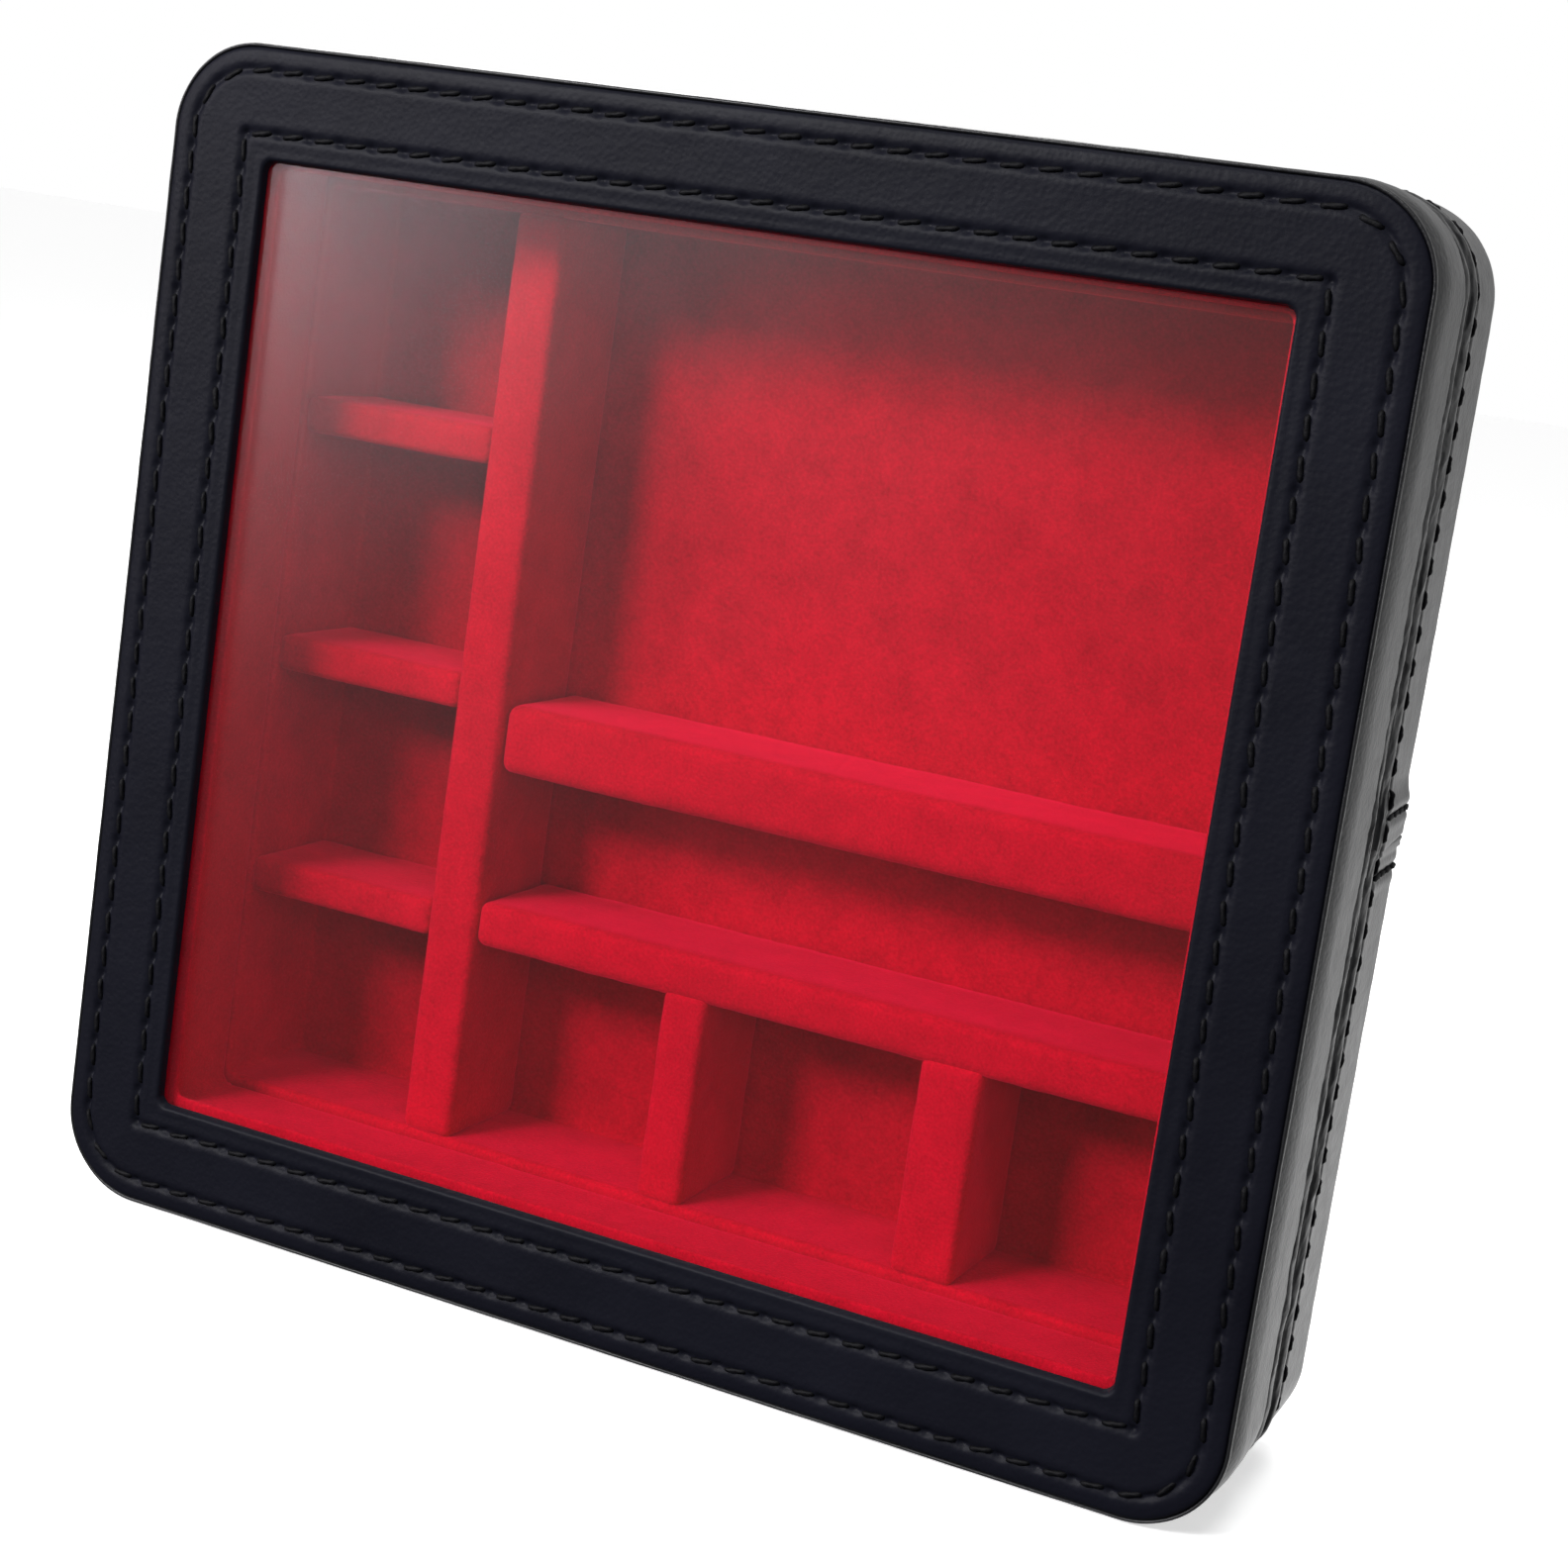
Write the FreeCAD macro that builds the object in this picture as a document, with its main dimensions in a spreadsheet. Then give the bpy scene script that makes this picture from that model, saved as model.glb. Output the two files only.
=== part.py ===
import FreeCAD, Part
import Sketcher
import math
import os

# Upright display case: a hinged windowed lid in front of a base with padded
# compartments, wrapped in leatherette and closed by a zip round three sides.
# X runs to the right, Y towards the rear, Z up; the origin is under the centre
# of the closed case.

os.makedirs("parts", exist_ok=True)
doc = FreeCAD.newDocument("DisplayCase")

DIMENSIONS = [
    # whole case
    ("case_w", 165.0),
    ("case_h", 156.0),
    ("mid_z", 78.0),
    ("corner_rad", 12.0),
    ("face_y", -18.5),
    ("rear_y", 18.5),
    # lid and base stop just short of the parting plane
    ("lid_end_y", -2.65),
    ("base_start_y", -2.35),
    # leatherette
    ("leather", 1.2),
    ("panel_t", 1.2),
    ("panel_inset", 1.3),
    ("pipe_out", 0.35),
    ("pipe_in", 1.25),
    ("pipe_rad", 0.4),
    ("band_front_y", -17.35),
    ("rear_edge_rad", 0.9),
    # seam between the spine and the side bands
    ("spine_x", -70.5),
    ("seam_gap", 0.2),
    # window, pane and its retainer
    ("window_w", 135.6),
    ("window_h", 126.6),
    ("window_rad", 1.2),
    ("pane_w", 140.4),
    ("pane_h", 131.4),
    ("pane_t", 1.5),
    ("retainer_w", 133.8),
    ("retainer_h", 124.8),
    ("retainer_t", 1.0),
    # inner lining of the lid
    ("lid_lining_t", 0.6),
    ("flange_t", 0.4),
    ("flange_inset", 6.5),
    # base opening and its lining
    ("well_w", 135.6),
    ("well_h", 123.6),
    ("well_mid_z", 77.5),
    ("core_well_w", 137.2),
    ("core_well_h", 126.6),
    ("well_back_y", 15.5),
    ("back_lining_t", 0.6),
    ("back_board_t", 1.4),
    # zip
    ("zip_y", 1.1),
    ("slider_room_inset", 5.5),
    ("tape_seat_inset", 4.4),
    ("core_step", 0.5),
    ("tape_t", 0.5),
    ("lid_seat_y", -6.8),
    ("base_room_end_y", 4.4),
    ("base_seat_end_y", 6.6),
    ("teeth_gap", 0.45),
    ("teeth_w", 1.0),
    ("teeth_out", 3.7),
    ("teeth_in", 4.6),
    ("mouth_half", 0.55),
    ("flap_out", 0.1),
    ("flap_in", 1.1),
    # slot where the sliders park, level with the ends of the base band
    ("park_z", 80.1),
    ("slot_h", 7.9),
    ("slot_half", 1.6),
    ("band_joint_gap", 0.3),
    # stitching
    ("thread_w", 0.6),
    ("thread_t", 0.3),
    ("outer_line", 3.6),
    ("inner_line", 11.5),
    ("side_line_y", 5.0),
    ("bar_stitch_reach", 3.7),
    ("bar_stitch_pitch", 2.6),
    ("bar_stitch_w", 0.5),
    ("bar_stitch_len", 1.9),
    # padded compartments
    ("pad_edge_rad", 1.3),
    ("column_left_x", -67.8),
    ("divider_left_x", -39.3),
    ("divider_right_x", -31.8),
    ("well_right_x", 67.8),
    ("floor_z", 15.7),
    ("dice_shelf_t", 5.0),
    ("dice_shelf_low_z", 42.1),
    ("dice_shelf_mid_z", 73.4),
    ("dice_shelf_top_z", 106.2),
    ("shelf_z", 66.5),
    ("shelf_t", 9.3),
    ("shelf_gap", 0.3),
    ("rail_z", 42.7),
    ("rail_t", 6.2),
    ("cell_a_end_x", -3.4),
    ("cell_b_start_x", 3.1),
    ("cell_b_end_x", 32.7),
    ("cell_c_start_x", 41.2),
    # zip slider and pull
    ("slider_len", 6.0),
    ("slider_half", 2.6),
    ("slider_gap", 0.2),
    ("outer_plate_x", 79.0),
    ("outer_plate_t", 0.5),
    ("inner_plate_x", 77.2),
    ("inner_plate_t", 0.5),
    ("post_half", 0.15),
    ("post_len", 1.2),
    ("rim_t", 0.25),
    ("rim_w", 0.4),
    ("lug_in", 0.35),
    ("lug_t", 0.4),
    ("lug_top_x", 81.0),
    ("lug_len", 1.6),
    ("pin_x", 80.4),
    ("pin_rad", 0.3),
    ("pin_up", 4.6),
    ("eye_rad", 0.7),
    ("eye_hole_rad", 0.36),
    ("leaf_t", 0.5),
    ("leaf_len", 7.7),
    ("leaf_in_x", 79.8),
    ("leaf_out_x", 82.3),
]

sheet = doc.addObject("Spreadsheet::Sheet", "Sizes")
for row, (alias, size) in enumerate(DIMENSIONS, start=1):
    sheet.set("A%d" % row, alias)
    sheet.set("B%d" % row, str(size))
    sheet.setAlias("B%d" % row, alias)
doc.recompute()

SIZE = dict(DIMENSIONS)


def cells(text):
    """Turn bare dimension names into spreadsheet references."""
    out = []
    word = ""
    for sign in text + " ":
        if sign.isalnum() or sign in "_.":
            word += sign
            continue
        out.append("Sizes." + word if word in SIZE else word)
        word = ""
        out.append(sign)
    return "".join(out).strip()


def new_body(label):
    body = doc.addObject("PartDesign::Body", label)
    body.Label = label
    return body


def origin_plane(body, role):
    for item in body.Origin.OriginFeatures:
        if item.Role == role:
            return item
    raise RuntimeError("no plane " + role)


def number(expression):
    """Value of an expression over the dimensions."""
    return float(sheet.evalExpression(cells(expression)))


def draw_sharp(sketch, half_w, half_h):
    """Four lines; returns the ends that carry the width and the height."""
    corners = [(-half_w, -half_h), (half_w, -half_h), (half_w, half_h), (-half_w, half_h)]
    for index in range(4):
        start = FreeCAD.Vector(corners[index][0], corners[index][1], 0)
        end = FreeCAD.Vector(corners[(index + 1) % 4][0], corners[(index + 1) % 4][1], 0)
        sketch.addGeometry(Part.LineSegment(start, end), False)
    for index in range(4):
        sketch.addConstraint(Sketcher.Constraint("Coincident", index, 2, (index + 1) % 4, 1))
    for index in (0, 2):
        sketch.addConstraint(Sketcher.Constraint("Horizontal", index))
    for index in (1, 3):
        sketch.addConstraint(Sketcher.Constraint("Vertical", index))
    sketch.addConstraint(Sketcher.Constraint("Symmetric", 0, 1, 1, 2, -1, 1))
    return (0, 1, 0, 2), (1, 1, 1, 2)


def draw_round(sketch, half_w, half_h, rad):
    """Four lines joined by four equal arcs, drawn anticlockwise."""
    flat_w = half_w - rad
    flat_h = half_h - rad
    ends = [
        ((-flat_w, -half_h), (flat_w, -half_h)),
        ((half_w, -flat_h), (half_w, flat_h)),
        ((flat_w, half_h), (-flat_w, half_h)),
        ((-half_w, flat_h), (-half_w, -flat_h)),
    ]
    centres = [(flat_w, -flat_h), (flat_w, flat_h), (-flat_w, flat_h), (-flat_w, -flat_h)]
    up = FreeCAD.Vector(0, 0, 1)
    for index in range(4):
        start, end = [FreeCAD.Vector(point[0], point[1], 0) for point in ends[index]]
        sketch.addGeometry(Part.LineSegment(start, end), False)
        centre = FreeCAD.Vector(centres[index][0], centres[index][1], 0)
        first = math.radians(90 * (index - 1))
        arc = Part.ArcOfCircle(Part.Circle(centre, up, rad), first, first + math.radians(90))
        sketch.addGeometry(arc, False)
    for index in range(8):
        sketch.addConstraint(Sketcher.Constraint("Tangent", index, 2, (index + 1) % 8, 1))
    for index in (0, 4):
        sketch.addConstraint(Sketcher.Constraint("Horizontal", index))
    for index in (2, 6):
        sketch.addConstraint(Sketcher.Constraint("Vertical", index))
    for index in (3, 5, 7):
        sketch.addConstraint(Sketcher.Constraint("Equal", 1, index))
    sketch.addConstraint(Sketcher.Constraint("Symmetric", 1, 3, 5, 3, -1, 1))
    return (6, 1, 2, 1), (0, 1, 4, 1)


def rectangle(body, name, width, height, at_y, centre_x, centre_z, radius=""):
    """A centred rectangle in a plane facing the front, at depth at_y."""
    sketch = body.newObject("Sketcher::SketchObject", name)
    sketch.AttachmentSupport = [(origin_plane(body, "XZ_Plane"), "")]
    sketch.MapMode = "FlatFace"
    full_w = number(width)
    full_h = number(height)
    if radius:
        across, along = draw_round(sketch, full_w / 2, full_h / 2, number(radius))
        bend = sketch.addConstraint(Sketcher.Constraint("Radius", 1, number(radius)))
        sketch.setExpression("Constraints[%d]" % bend, cells(radius))
    else:
        across, along = draw_sharp(sketch, full_w / 2, full_h / 2)
    wide = sketch.addConstraint(Sketcher.Constraint("DistanceX", *across, full_w))
    tall = sketch.addConstraint(Sketcher.Constraint("DistanceY", *along, full_h))
    sketch.setExpression("Constraints[%d]" % wide, cells(width))
    sketch.setExpression("Constraints[%d]" % tall, cells(height))
    sketch.setExpression("AttachmentOffset.Base.x", cells(centre_x))
    sketch.setExpression("AttachmentOffset.Base.y", cells(centre_z))
    sketch.setExpression("AttachmentOffset.Base.z", cells("-(%s)" % at_y))
    sketch.Visibility = False
    return sketch


def slab(body, name, width, height, from_y, to_y, centre_x="0", centre_z="mid_z", radius=""):
    """Add a block whose front face is the rectangle."""
    sketch = rectangle(
        body, name + "_sketch", width, height, from_y, centre_x, centre_z, radius)
    pad = body.newObject("PartDesign::Pad", name)
    pad.Profile = sketch
    pad.Reversed = True
    pad.setExpression("Length", cells("(%s) - (%s)" % (to_y, from_y)))
    doc.recompute()
    return pad


def cutout(body, name, width, height, from_y, to_y, centre_x="0", centre_z="mid_z", radius=""):
    """Cut a block out of the body, from from_y back to to_y."""
    before = body.Shape.Volume
    sketch = rectangle(
        body, name + "_sketch", width, height, from_y, centre_x, centre_z, radius)
    pocket = body.newObject("PartDesign::Pocket", name)
    pocket.Profile = sketch
    pocket.setExpression("Length", cells("(%s) - (%s)" % (to_y, from_y)))
    doc.recompute()
    if not pocket.Shape.Volume < before - 1e-6:
        raise RuntimeError("nothing was cut by " + name)
    return pocket


def near(a, b, slack=0.01):
    return abs(a - b) < slack


def loop_edges(shape, at_y, outer=True):
    """Names of the edges round the outside (or the holes) of a face at at_y."""
    names = []
    for face in shape.Faces:
        box = face.BoundBox
        if box.YLength > 0.001 or not near(box.YMin, at_y, 0.001):
            continue
        wires = [w for w in face.Wires if w.isSame(face.OuterWire) == outer]
        for wire in wires:
            for edge in wire.Edges:
                for index, other in enumerate(shape.Edges, start=1):
                    if edge.isSame(other) and "Edge%d" % index not in names:
                        names.append("Edge%d" % index)
    return names


def fillet(body, name, edges, radius):
    if not edges:
        raise RuntimeError("no edges for " + name)
    base = body.Tip
    feature = body.newObject("PartDesign::Fillet", name)
    feature.Base = (base, edges)
    feature.setExpression("Radius", cells(radius))
    doc.recompute()
    return feature


def band(label, outer, inner, from_y, to_y):
    """A ring that follows the outline of the case between two insets."""
    body = new_body(label)
    slab(body, label + "_ring", "case_w - 2 * (%s)" % outer, "case_h - 2 * (%s)" % outer,
         from_y, to_y, radius="corner_rad - (%s)" % outer)
    cutout(body, label + "_inside", "case_w - 2 * (%s)" % inner, "case_h - 2 * (%s)" % inner,
           from_y, to_y, radius="corner_rad - (%s)" % inner)
    return body


def drop_left(body, from_y, to_y):
    """Remove the part of a ring that the spine covers."""
    width = "case_w / 2 + spine_x + seam_gap / 2"
    centre = "-case_w / 2 + (%s) / 2" % width
    cutout(body, body.Label + "_spine_cut", width, "case_h", from_y, to_y, centre)


def drop_right(body, from_y, to_y):
    """Keep only the part of a ring that the spine covers."""
    width = "case_w / 2 - spine_x + seam_gap / 2"
    centre = "case_w / 2 - (%s) / 2" % width
    cutout(body, body.Label + "_bands_cut", width, "case_h", from_y, to_y, centre)


def fuse(label, shapes):
    joined = doc.addObject("Part::MultiFuse", label)
    joined.Label = label
    joined.Shapes = shapes
    joined.Refine = True
    return joined


# ---------------------------------------------------------------- lid shell

panel_blank = new_body("panel_blank")
PANEL_W = "case_w - 2 * panel_inset"
PANEL_H = "case_h - 2 * panel_inset"
PANEL_BACK = "face_y + panel_t"
slab(panel_blank, "panel_sheet", PANEL_W, PANEL_H, "face_y", PANEL_BACK,
     radius="corner_rad - panel_inset")
cutout(panel_blank, "panel_window", "window_w", "window_h", "face_y", PANEL_BACK,
       radius="window_rad")


def sewn_line(label, inset, corner, from_y, to_y):
    """Thread of a sewn line that follows the outline of the case."""
    wide = "case_w - 2 * (%s) + thread_w" % inset
    tall = "case_h - 2 * (%s) + thread_w" % inset
    slim = "case_w - 2 * (%s) - thread_w" % inset
    short = "case_h - 2 * (%s) - thread_w" % inset
    thread = new_body(label)
    slab(thread, label + "_run", wide, tall, from_y, to_y,
         radius=corner + " + thread_w / 2" if corner else "")
    cutout(thread, label + "_inside", slim, short, from_y, to_y,
           radius=corner + " - thread_w / 2" if corner else "")
    return thread


def grooved(label, blank, threads):
    """A piece of leather with a groove under each of its sewn lines."""
    piece = doc.addObject("Part::Cut", label)
    piece.Label = label
    piece.Base = blank
    if len(threads) > 1:
        piece.Tool = fuse(label + "_grooves", threads)
        piece.Tool.Visibility = False
    else:
        piece.Tool = threads[0]
    doc.recompute()
    return piece


OUTER_CORNER = "corner_rad - outer_line"
outer_thread = sewn_line("outer_stitching", "outer_line", OUTER_CORNER,
                         "face_y", "face_y + thread_t")
inner_thread = sewn_line("inner_stitching", "inner_line", "", "face_y", "face_y + thread_t")
front_panel = grooved("front_panel", panel_blank, [outer_thread, inner_thread])

edge_piping = band("edge_piping", "pipe_out", "pipe_in", "face_y", "band_front_y")
fillet(edge_piping, "piping_front_round",
       loop_edges(edge_piping.Shape, number("face_y"), True), "pipe_rad")

lid_side_band = band("lid_side_band", "0", "leather", "band_front_y", "lid_end_y")
drop_left(lid_side_band, "band_front_y", "lid_end_y")

spine_leaf_lid = band("spine_leaf_lid", "0", "leather", "band_front_y", "lid_end_y")
drop_right(spine_leaf_lid, "band_front_y", "lid_end_y")

lid_frame = new_body("lid_frame")
CORE_W = "case_w - 2 * leather"
CORE_H = "case_h - 2 * leather"
CORE_RAD = "corner_rad - leather"
LID_CORE_END = "lid_end_y - flange_t"
SEAT_W = "case_w - leather - core_step - tape_seat_inset"
SEAT_H = "case_h - 2 * tape_seat_inset"
SEAT_X = "(leather + core_step - tape_seat_inset) / 2"
SEAT_RAD = "corner_rad - tape_seat_inset"
slab(lid_frame, "lid_core", CORE_W, CORE_H, PANEL_BACK, "lid_seat_y", radius=CORE_RAD)
slab(lid_frame, "lid_tape_seat", SEAT_W, SEAT_H, "lid_seat_y", LID_CORE_END, SEAT_X,
     radius=SEAT_RAD)
LID_WELL_W = "window_w + 2 * lid_lining_t"
LID_WELL_H = "window_h + 2 * lid_lining_t"
cutout(lid_frame, "lid_well", LID_WELL_W, LID_WELL_H, PANEL_BACK, LID_CORE_END)
PANE_BACK = "face_y + panel_t + pane_t"
RETAINER_BACK = "face_y + panel_t + pane_t + retainer_t"
cutout(lid_frame, "pane_rebate", "pane_w", "pane_h", PANEL_BACK, RETAINER_BACK)

window_pane = new_body("window_pane")
slab(window_pane, "pane_sheet", "pane_w", "pane_h", PANEL_BACK, PANE_BACK)

window_retainer = new_body("window_retainer")
slab(window_retainer, "retainer_sheet", "pane_w", "pane_h", PANE_BACK, RETAINER_BACK)
cutout(window_retainer, "retainer_window", "retainer_w", "retainer_h", PANE_BACK, RETAINER_BACK)

lid_lining = new_body("lid_lining")
FLANGE_W = "case_w - 2 * flange_inset"
FLANGE_H = "case_h - 2 * flange_inset"
FLANGE_RAD = "corner_rad - flange_inset"
slab(lid_lining, "lid_lining_sleeve", LID_WELL_W, LID_WELL_H, RETAINER_BACK, LID_CORE_END)
slab(lid_lining, "lid_lining_flange", FLANGE_W, FLANGE_H, LID_CORE_END, "lid_end_y",
     radius=FLANGE_RAD)
cutout(lid_lining, "lid_lining_opening", "window_w", "window_h", RETAINER_BACK, "lid_end_y")

# ---------------------------------------------------------------- base shell

BASE_CORE_START = "base_start_y + flange_t"
WELL_LINING_BACK = "well_back_y + back_lining_t"
BOARD_BACK = "well_back_y + back_lining_t + back_board_t"

base_frame = new_body("base_frame")
ROOM_W = "case_w - leather - 2 * core_step - slider_room_inset"
ROOM_H = "case_h - 2 * slider_room_inset"
ROOM_X = "(leather + 2 * core_step - slider_room_inset) / 2"
slab(base_frame, "base_core", CORE_W, CORE_H, "base_seat_end_y", WELL_LINING_BACK,
     radius=CORE_RAD)
slab(base_frame, "base_tape_seat", SEAT_W, SEAT_H, "base_room_end_y", "base_seat_end_y",
     SEAT_X, radius=SEAT_RAD)
slab(base_frame, "slider_room", ROOM_W, ROOM_H, BASE_CORE_START, "base_room_end_y",
     ROOM_X, radius="corner_rad - slider_room_inset")
cutout(base_frame, "base_well", "core_well_w", "core_well_h", BASE_CORE_START, WELL_LINING_BACK)

back_board = new_body("back_board")
slab(back_board, "board_sheet", CORE_W, CORE_H, WELL_LINING_BACK, BOARD_BACK,
     radius=CORE_RAD)

back_blank = new_body("back_blank")
slab(back_blank, "back_sheet", "case_w", "case_h", BOARD_BACK, "rear_y",
     radius="corner_rad")
fillet(back_blank, "back_edge_round",
       loop_edges(back_blank.Shape, number("rear_y"), True), "rear_edge_rad")
back_thread = sewn_line("back_stitching", "outer_line", OUTER_CORNER,
                        "rear_y - thread_t", "rear_y")
back_panel = grooved("back_panel", back_blank, [back_thread])

back_lining = new_body("back_lining")
slab(back_lining, "back_lining_sheet", "core_well_w", "core_well_h", "well_back_y",
     WELL_LINING_BACK)

wall_lining = new_body("wall_lining")
slab(wall_lining, "wall_flange", FLANGE_W, FLANGE_H, "base_start_y", BASE_CORE_START,
     radius=FLANGE_RAD)
slab(wall_lining, "wall_sleeve", "core_well_w", "core_well_h", BASE_CORE_START, "well_back_y")
cutout(wall_lining, "wall_opening", "well_w", "well_h", "base_start_y", "well_back_y",
       "0", "well_mid_z")

LIP_Y = "zip_y + mouth_half"
spine_leaf_base = band("spine_leaf_base", "0", "leather", "base_start_y", BOARD_BACK)
drop_right(spine_leaf_base, "base_start_y", BOARD_BACK)


side_thread = band("side_stitching", "0", "thread_t", "side_line_y - thread_w / 2",
                   "side_line_y + thread_w / 2")
drop_left(side_thread, "side_line_y - thread_w / 2", "side_line_y + thread_w / 2")


def base_band(label, keep_top):
    """Half of the base's side band: it runs from the spine to the joint."""
    body = band(label, "0", "leather", LIP_Y, BOARD_BACK)
    drop_left(body, LIP_Y, BOARD_BACK)
    if keep_top:
        tall = "park_z + band_joint_gap / 2"
        centre = "(%s) / 2" % tall
    else:
        tall = "case_h - park_z + band_joint_gap / 2"
        centre = "case_h - (%s) / 2" % tall
    cutout(body, label + "_end", "case_w", tall, LIP_Y, BOARD_BACK, "0", centre)
    return body


upper_blank = base_band("upper_band_blank", True)
lower_blank = base_band("lower_band_blank", False)
cutout(upper_blank, "upper_slot", "leather * 2 + 2", "slot_h", LIP_Y, "zip_y + slot_half",
       "case_w / 2", "park_z + slot_h / 2")
side_band_upper = grooved("side_band_upper", upper_blank, [side_thread])
side_band_lower = grooved("side_band_lower", lower_blank, [side_thread])

# ---------------------------------------------------------------- zip

lid_zip_flap = band("lid_zip_flap", "flap_out", "flap_in", "lid_end_y", "zip_y - mouth_half")
drop_left(lid_zip_flap, "lid_end_y", "zip_y - mouth_half")
cutout(lid_zip_flap, "flap_slot", "leather * 2 + 2", "slot_h", "zip_y - slot_half",
       "zip_y - mouth_half", "case_w / 2", "park_z + slot_h / 2")

LID_TEETH_FRONT = "zip_y - teeth_gap - teeth_w"
LID_TEETH_BACK = "zip_y - teeth_gap"
BASE_TEETH_FRONT = "zip_y + teeth_gap"
BASE_TEETH_BACK = "zip_y + teeth_gap + teeth_w"

ZIP_RINGS = (
    ("zip_tape_lid", "tape_seat_inset - tape_t", "tape_seat_inset", "lid_seat_y",
     LID_TEETH_FRONT),
    ("zip_teeth_lid", "teeth_out", "teeth_in", LID_TEETH_FRONT, LID_TEETH_BACK),
    ("zip_teeth_base", "teeth_out", "teeth_in", BASE_TEETH_FRONT, BASE_TEETH_BACK),
    ("zip_tape_base", "tape_seat_inset - tape_t", "tape_seat_inset", BASE_TEETH_BACK,
     "base_seat_end_y"),
)
zip_parts = []
for label, outer, inner, start, stop in ZIP_RINGS:
    strip = band(label, outer, inner, start, stop)
    drop_left(strip, start, stop)
    zip_parts.append(strip)

# ---------------------------------------------------------------- compartments


def pad_block(label, left, right, low, high):
    """A flocked board with softly rounded front edges."""
    body = new_body(label)
    wide = "(%s) - (%s)" % (right, left)
    tall = "(%s) - (%s)" % (high, low)
    across = "((%s) + (%s)) / 2" % (right, left)
    level = "((%s) + (%s)) / 2" % (high, low)
    slab(body, label + "_block", wide, tall, "base_start_y", "well_back_y", across, level)
    front = number("base_start_y")
    longways = []
    upright = body.Shape.BoundBox.ZLength > body.Shape.BoundBox.XLength
    for index, edge in enumerate(body.Shape.Edges, start=1):
        box = edge.BoundBox
        if not (near(box.YMin, front) and near(box.YMax, front)):
            continue
        if (box.ZLength if upright else box.XLength) > 1.0:
            longways.append("Edge%d" % index)
    fillet(body, label + "_soft_edge", longways, "pad_edge_rad")
    return body


WELL_TOP = "floor_z + well_h"
pads = [
    pad_block("vertical_divider", "divider_left_x", "divider_right_x", "floor_z", WELL_TOP),
    pad_block("display_shelf", "divider_right_x + shelf_gap", "well_right_x", "shelf_z",
              "shelf_z + shelf_t"),
    pad_block("lower_rail", "divider_right_x", "well_right_x", "rail_z", "rail_z + rail_t"),
    pad_block("lower_divider_left", "cell_a_end_x", "cell_b_start_x", "floor_z", "rail_z"),
    pad_block("lower_divider_right", "cell_b_end_x", "cell_c_start_x", "floor_z", "rail_z"),
]
for place in ("low", "mid", "top"):
    under = "dice_shelf_%s_z" % place
    pads.append(pad_block("dice_shelf_" + place, "column_left_x", "divider_left_x", under,
                          under + " + dice_shelf_t"))

# ---------------------------------------------------------------- part primitives


def block(name, x_from, x_to, y_from, y_to, z_from, z_to):
    box = doc.addObject("Part::Box", name)
    spans = (("Length", "x", x_from, x_to), ("Width", "y", y_from, y_to),
             ("Height", "z", z_from, z_to))
    for side, axis, start, stop in spans:
        box.setExpression(side, cells("(%s) - (%s)" % (stop, start)))
        box.setExpression("Placement.Base." + axis, cells(start))
    box.Visibility = False
    return box


def rod_along_y(name, radius, x_at, z_at, y_from, y_to):
    rod = doc.addObject("Part::Cylinder", name)
    rod.Placement = FreeCAD.Placement(
        FreeCAD.Vector(), FreeCAD.Rotation(FreeCAD.Vector(1, 0, 0), -90))
    rod.setExpression("Radius", cells(radius))
    rod.setExpression("Height", cells("(%s) - (%s)" % (y_to, y_from)))
    rod.setExpression("Placement.Base.x", cells(x_at))
    rod.setExpression("Placement.Base.y", cells(y_from))
    rod.setExpression("Placement.Base.z", cells(z_at))
    rod.Visibility = False
    return rod


def slider(label, start, stop, post_from, post_to, pin_z):
    """Zip slider: two plates round the teeth, a post between them, a pin on lugs."""
    back = "zip_y + slider_half"
    front = "zip_y - slider_half"
    outer_top = "outer_plate_x + outer_plate_t"
    lug_from = "(%s) - lug_len / 2" % pin_z
    lug_to = "(%s) + lug_len / 2" % pin_z
    pieces = [
        block(label + "_outer", "outer_plate_x", outer_top, front, back, start, stop),
        block(label + "_inner", "inner_plate_x", "inner_plate_x + inner_plate_t",
              front, back, start, stop),
        block(label + "_post", "inner_plate_x", outer_top,
              "zip_y - post_half", "zip_y + post_half", post_from, post_to),
        block(label + "_rim", "outer_plate_x - rim_t", outer_top,
              back + " - rim_w", back, start, stop),
        block(label + "_lug_a", "outer_plate_x", "lug_top_x",
              "zip_y - lug_in - lug_t", "zip_y - lug_in", lug_from, lug_to),
        block(label + "_lug_b", "outer_plate_x", "lug_top_x",
              "zip_y + lug_in", "zip_y + lug_in + lug_t", lug_from, lug_to),
        rod_along_y(label + "_pin", "pin_rad", "pin_x", pin_z,
                    "zip_y - lug_in - lug_t / 2", "zip_y + lug_in + lug_t / 2"),
    ]
    return fuse(label, pieces)


def pull(label, pin_z):
    """Flat pull leaf that hangs from the slider's pin inside the zip's mouth."""
    front = "zip_y - leaf_t / 2"
    back = "zip_y + leaf_t / 2"
    leaf = block(label + "_leaf", "leaf_in_x", "leaf_out_x", front, back,
                 "(%s) - leaf_len" % pin_z, "(%s) - eye_hole_rad - 0.1" % pin_z)
    eye = rod_along_y(label + "_eye", "eye_rad", "pin_x", pin_z, front, back)
    neck = block(label + "_neck", "pin_x", "pin_x + eye_rad", front, back,
                 "(%s) - eye_rad" % pin_z, pin_z)
    whole = fuse(label + "_blank", [leaf, eye, neck])
    whole.Visibility = False
    hole = rod_along_y(label + "_hole", "eye_hole_rad", "pin_x", pin_z, front, back)
    cut = doc.addObject("Part::Cut", label)
    cut.Label = label
    cut.Base = whole
    cut.Tool = hole
    return cut


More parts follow.
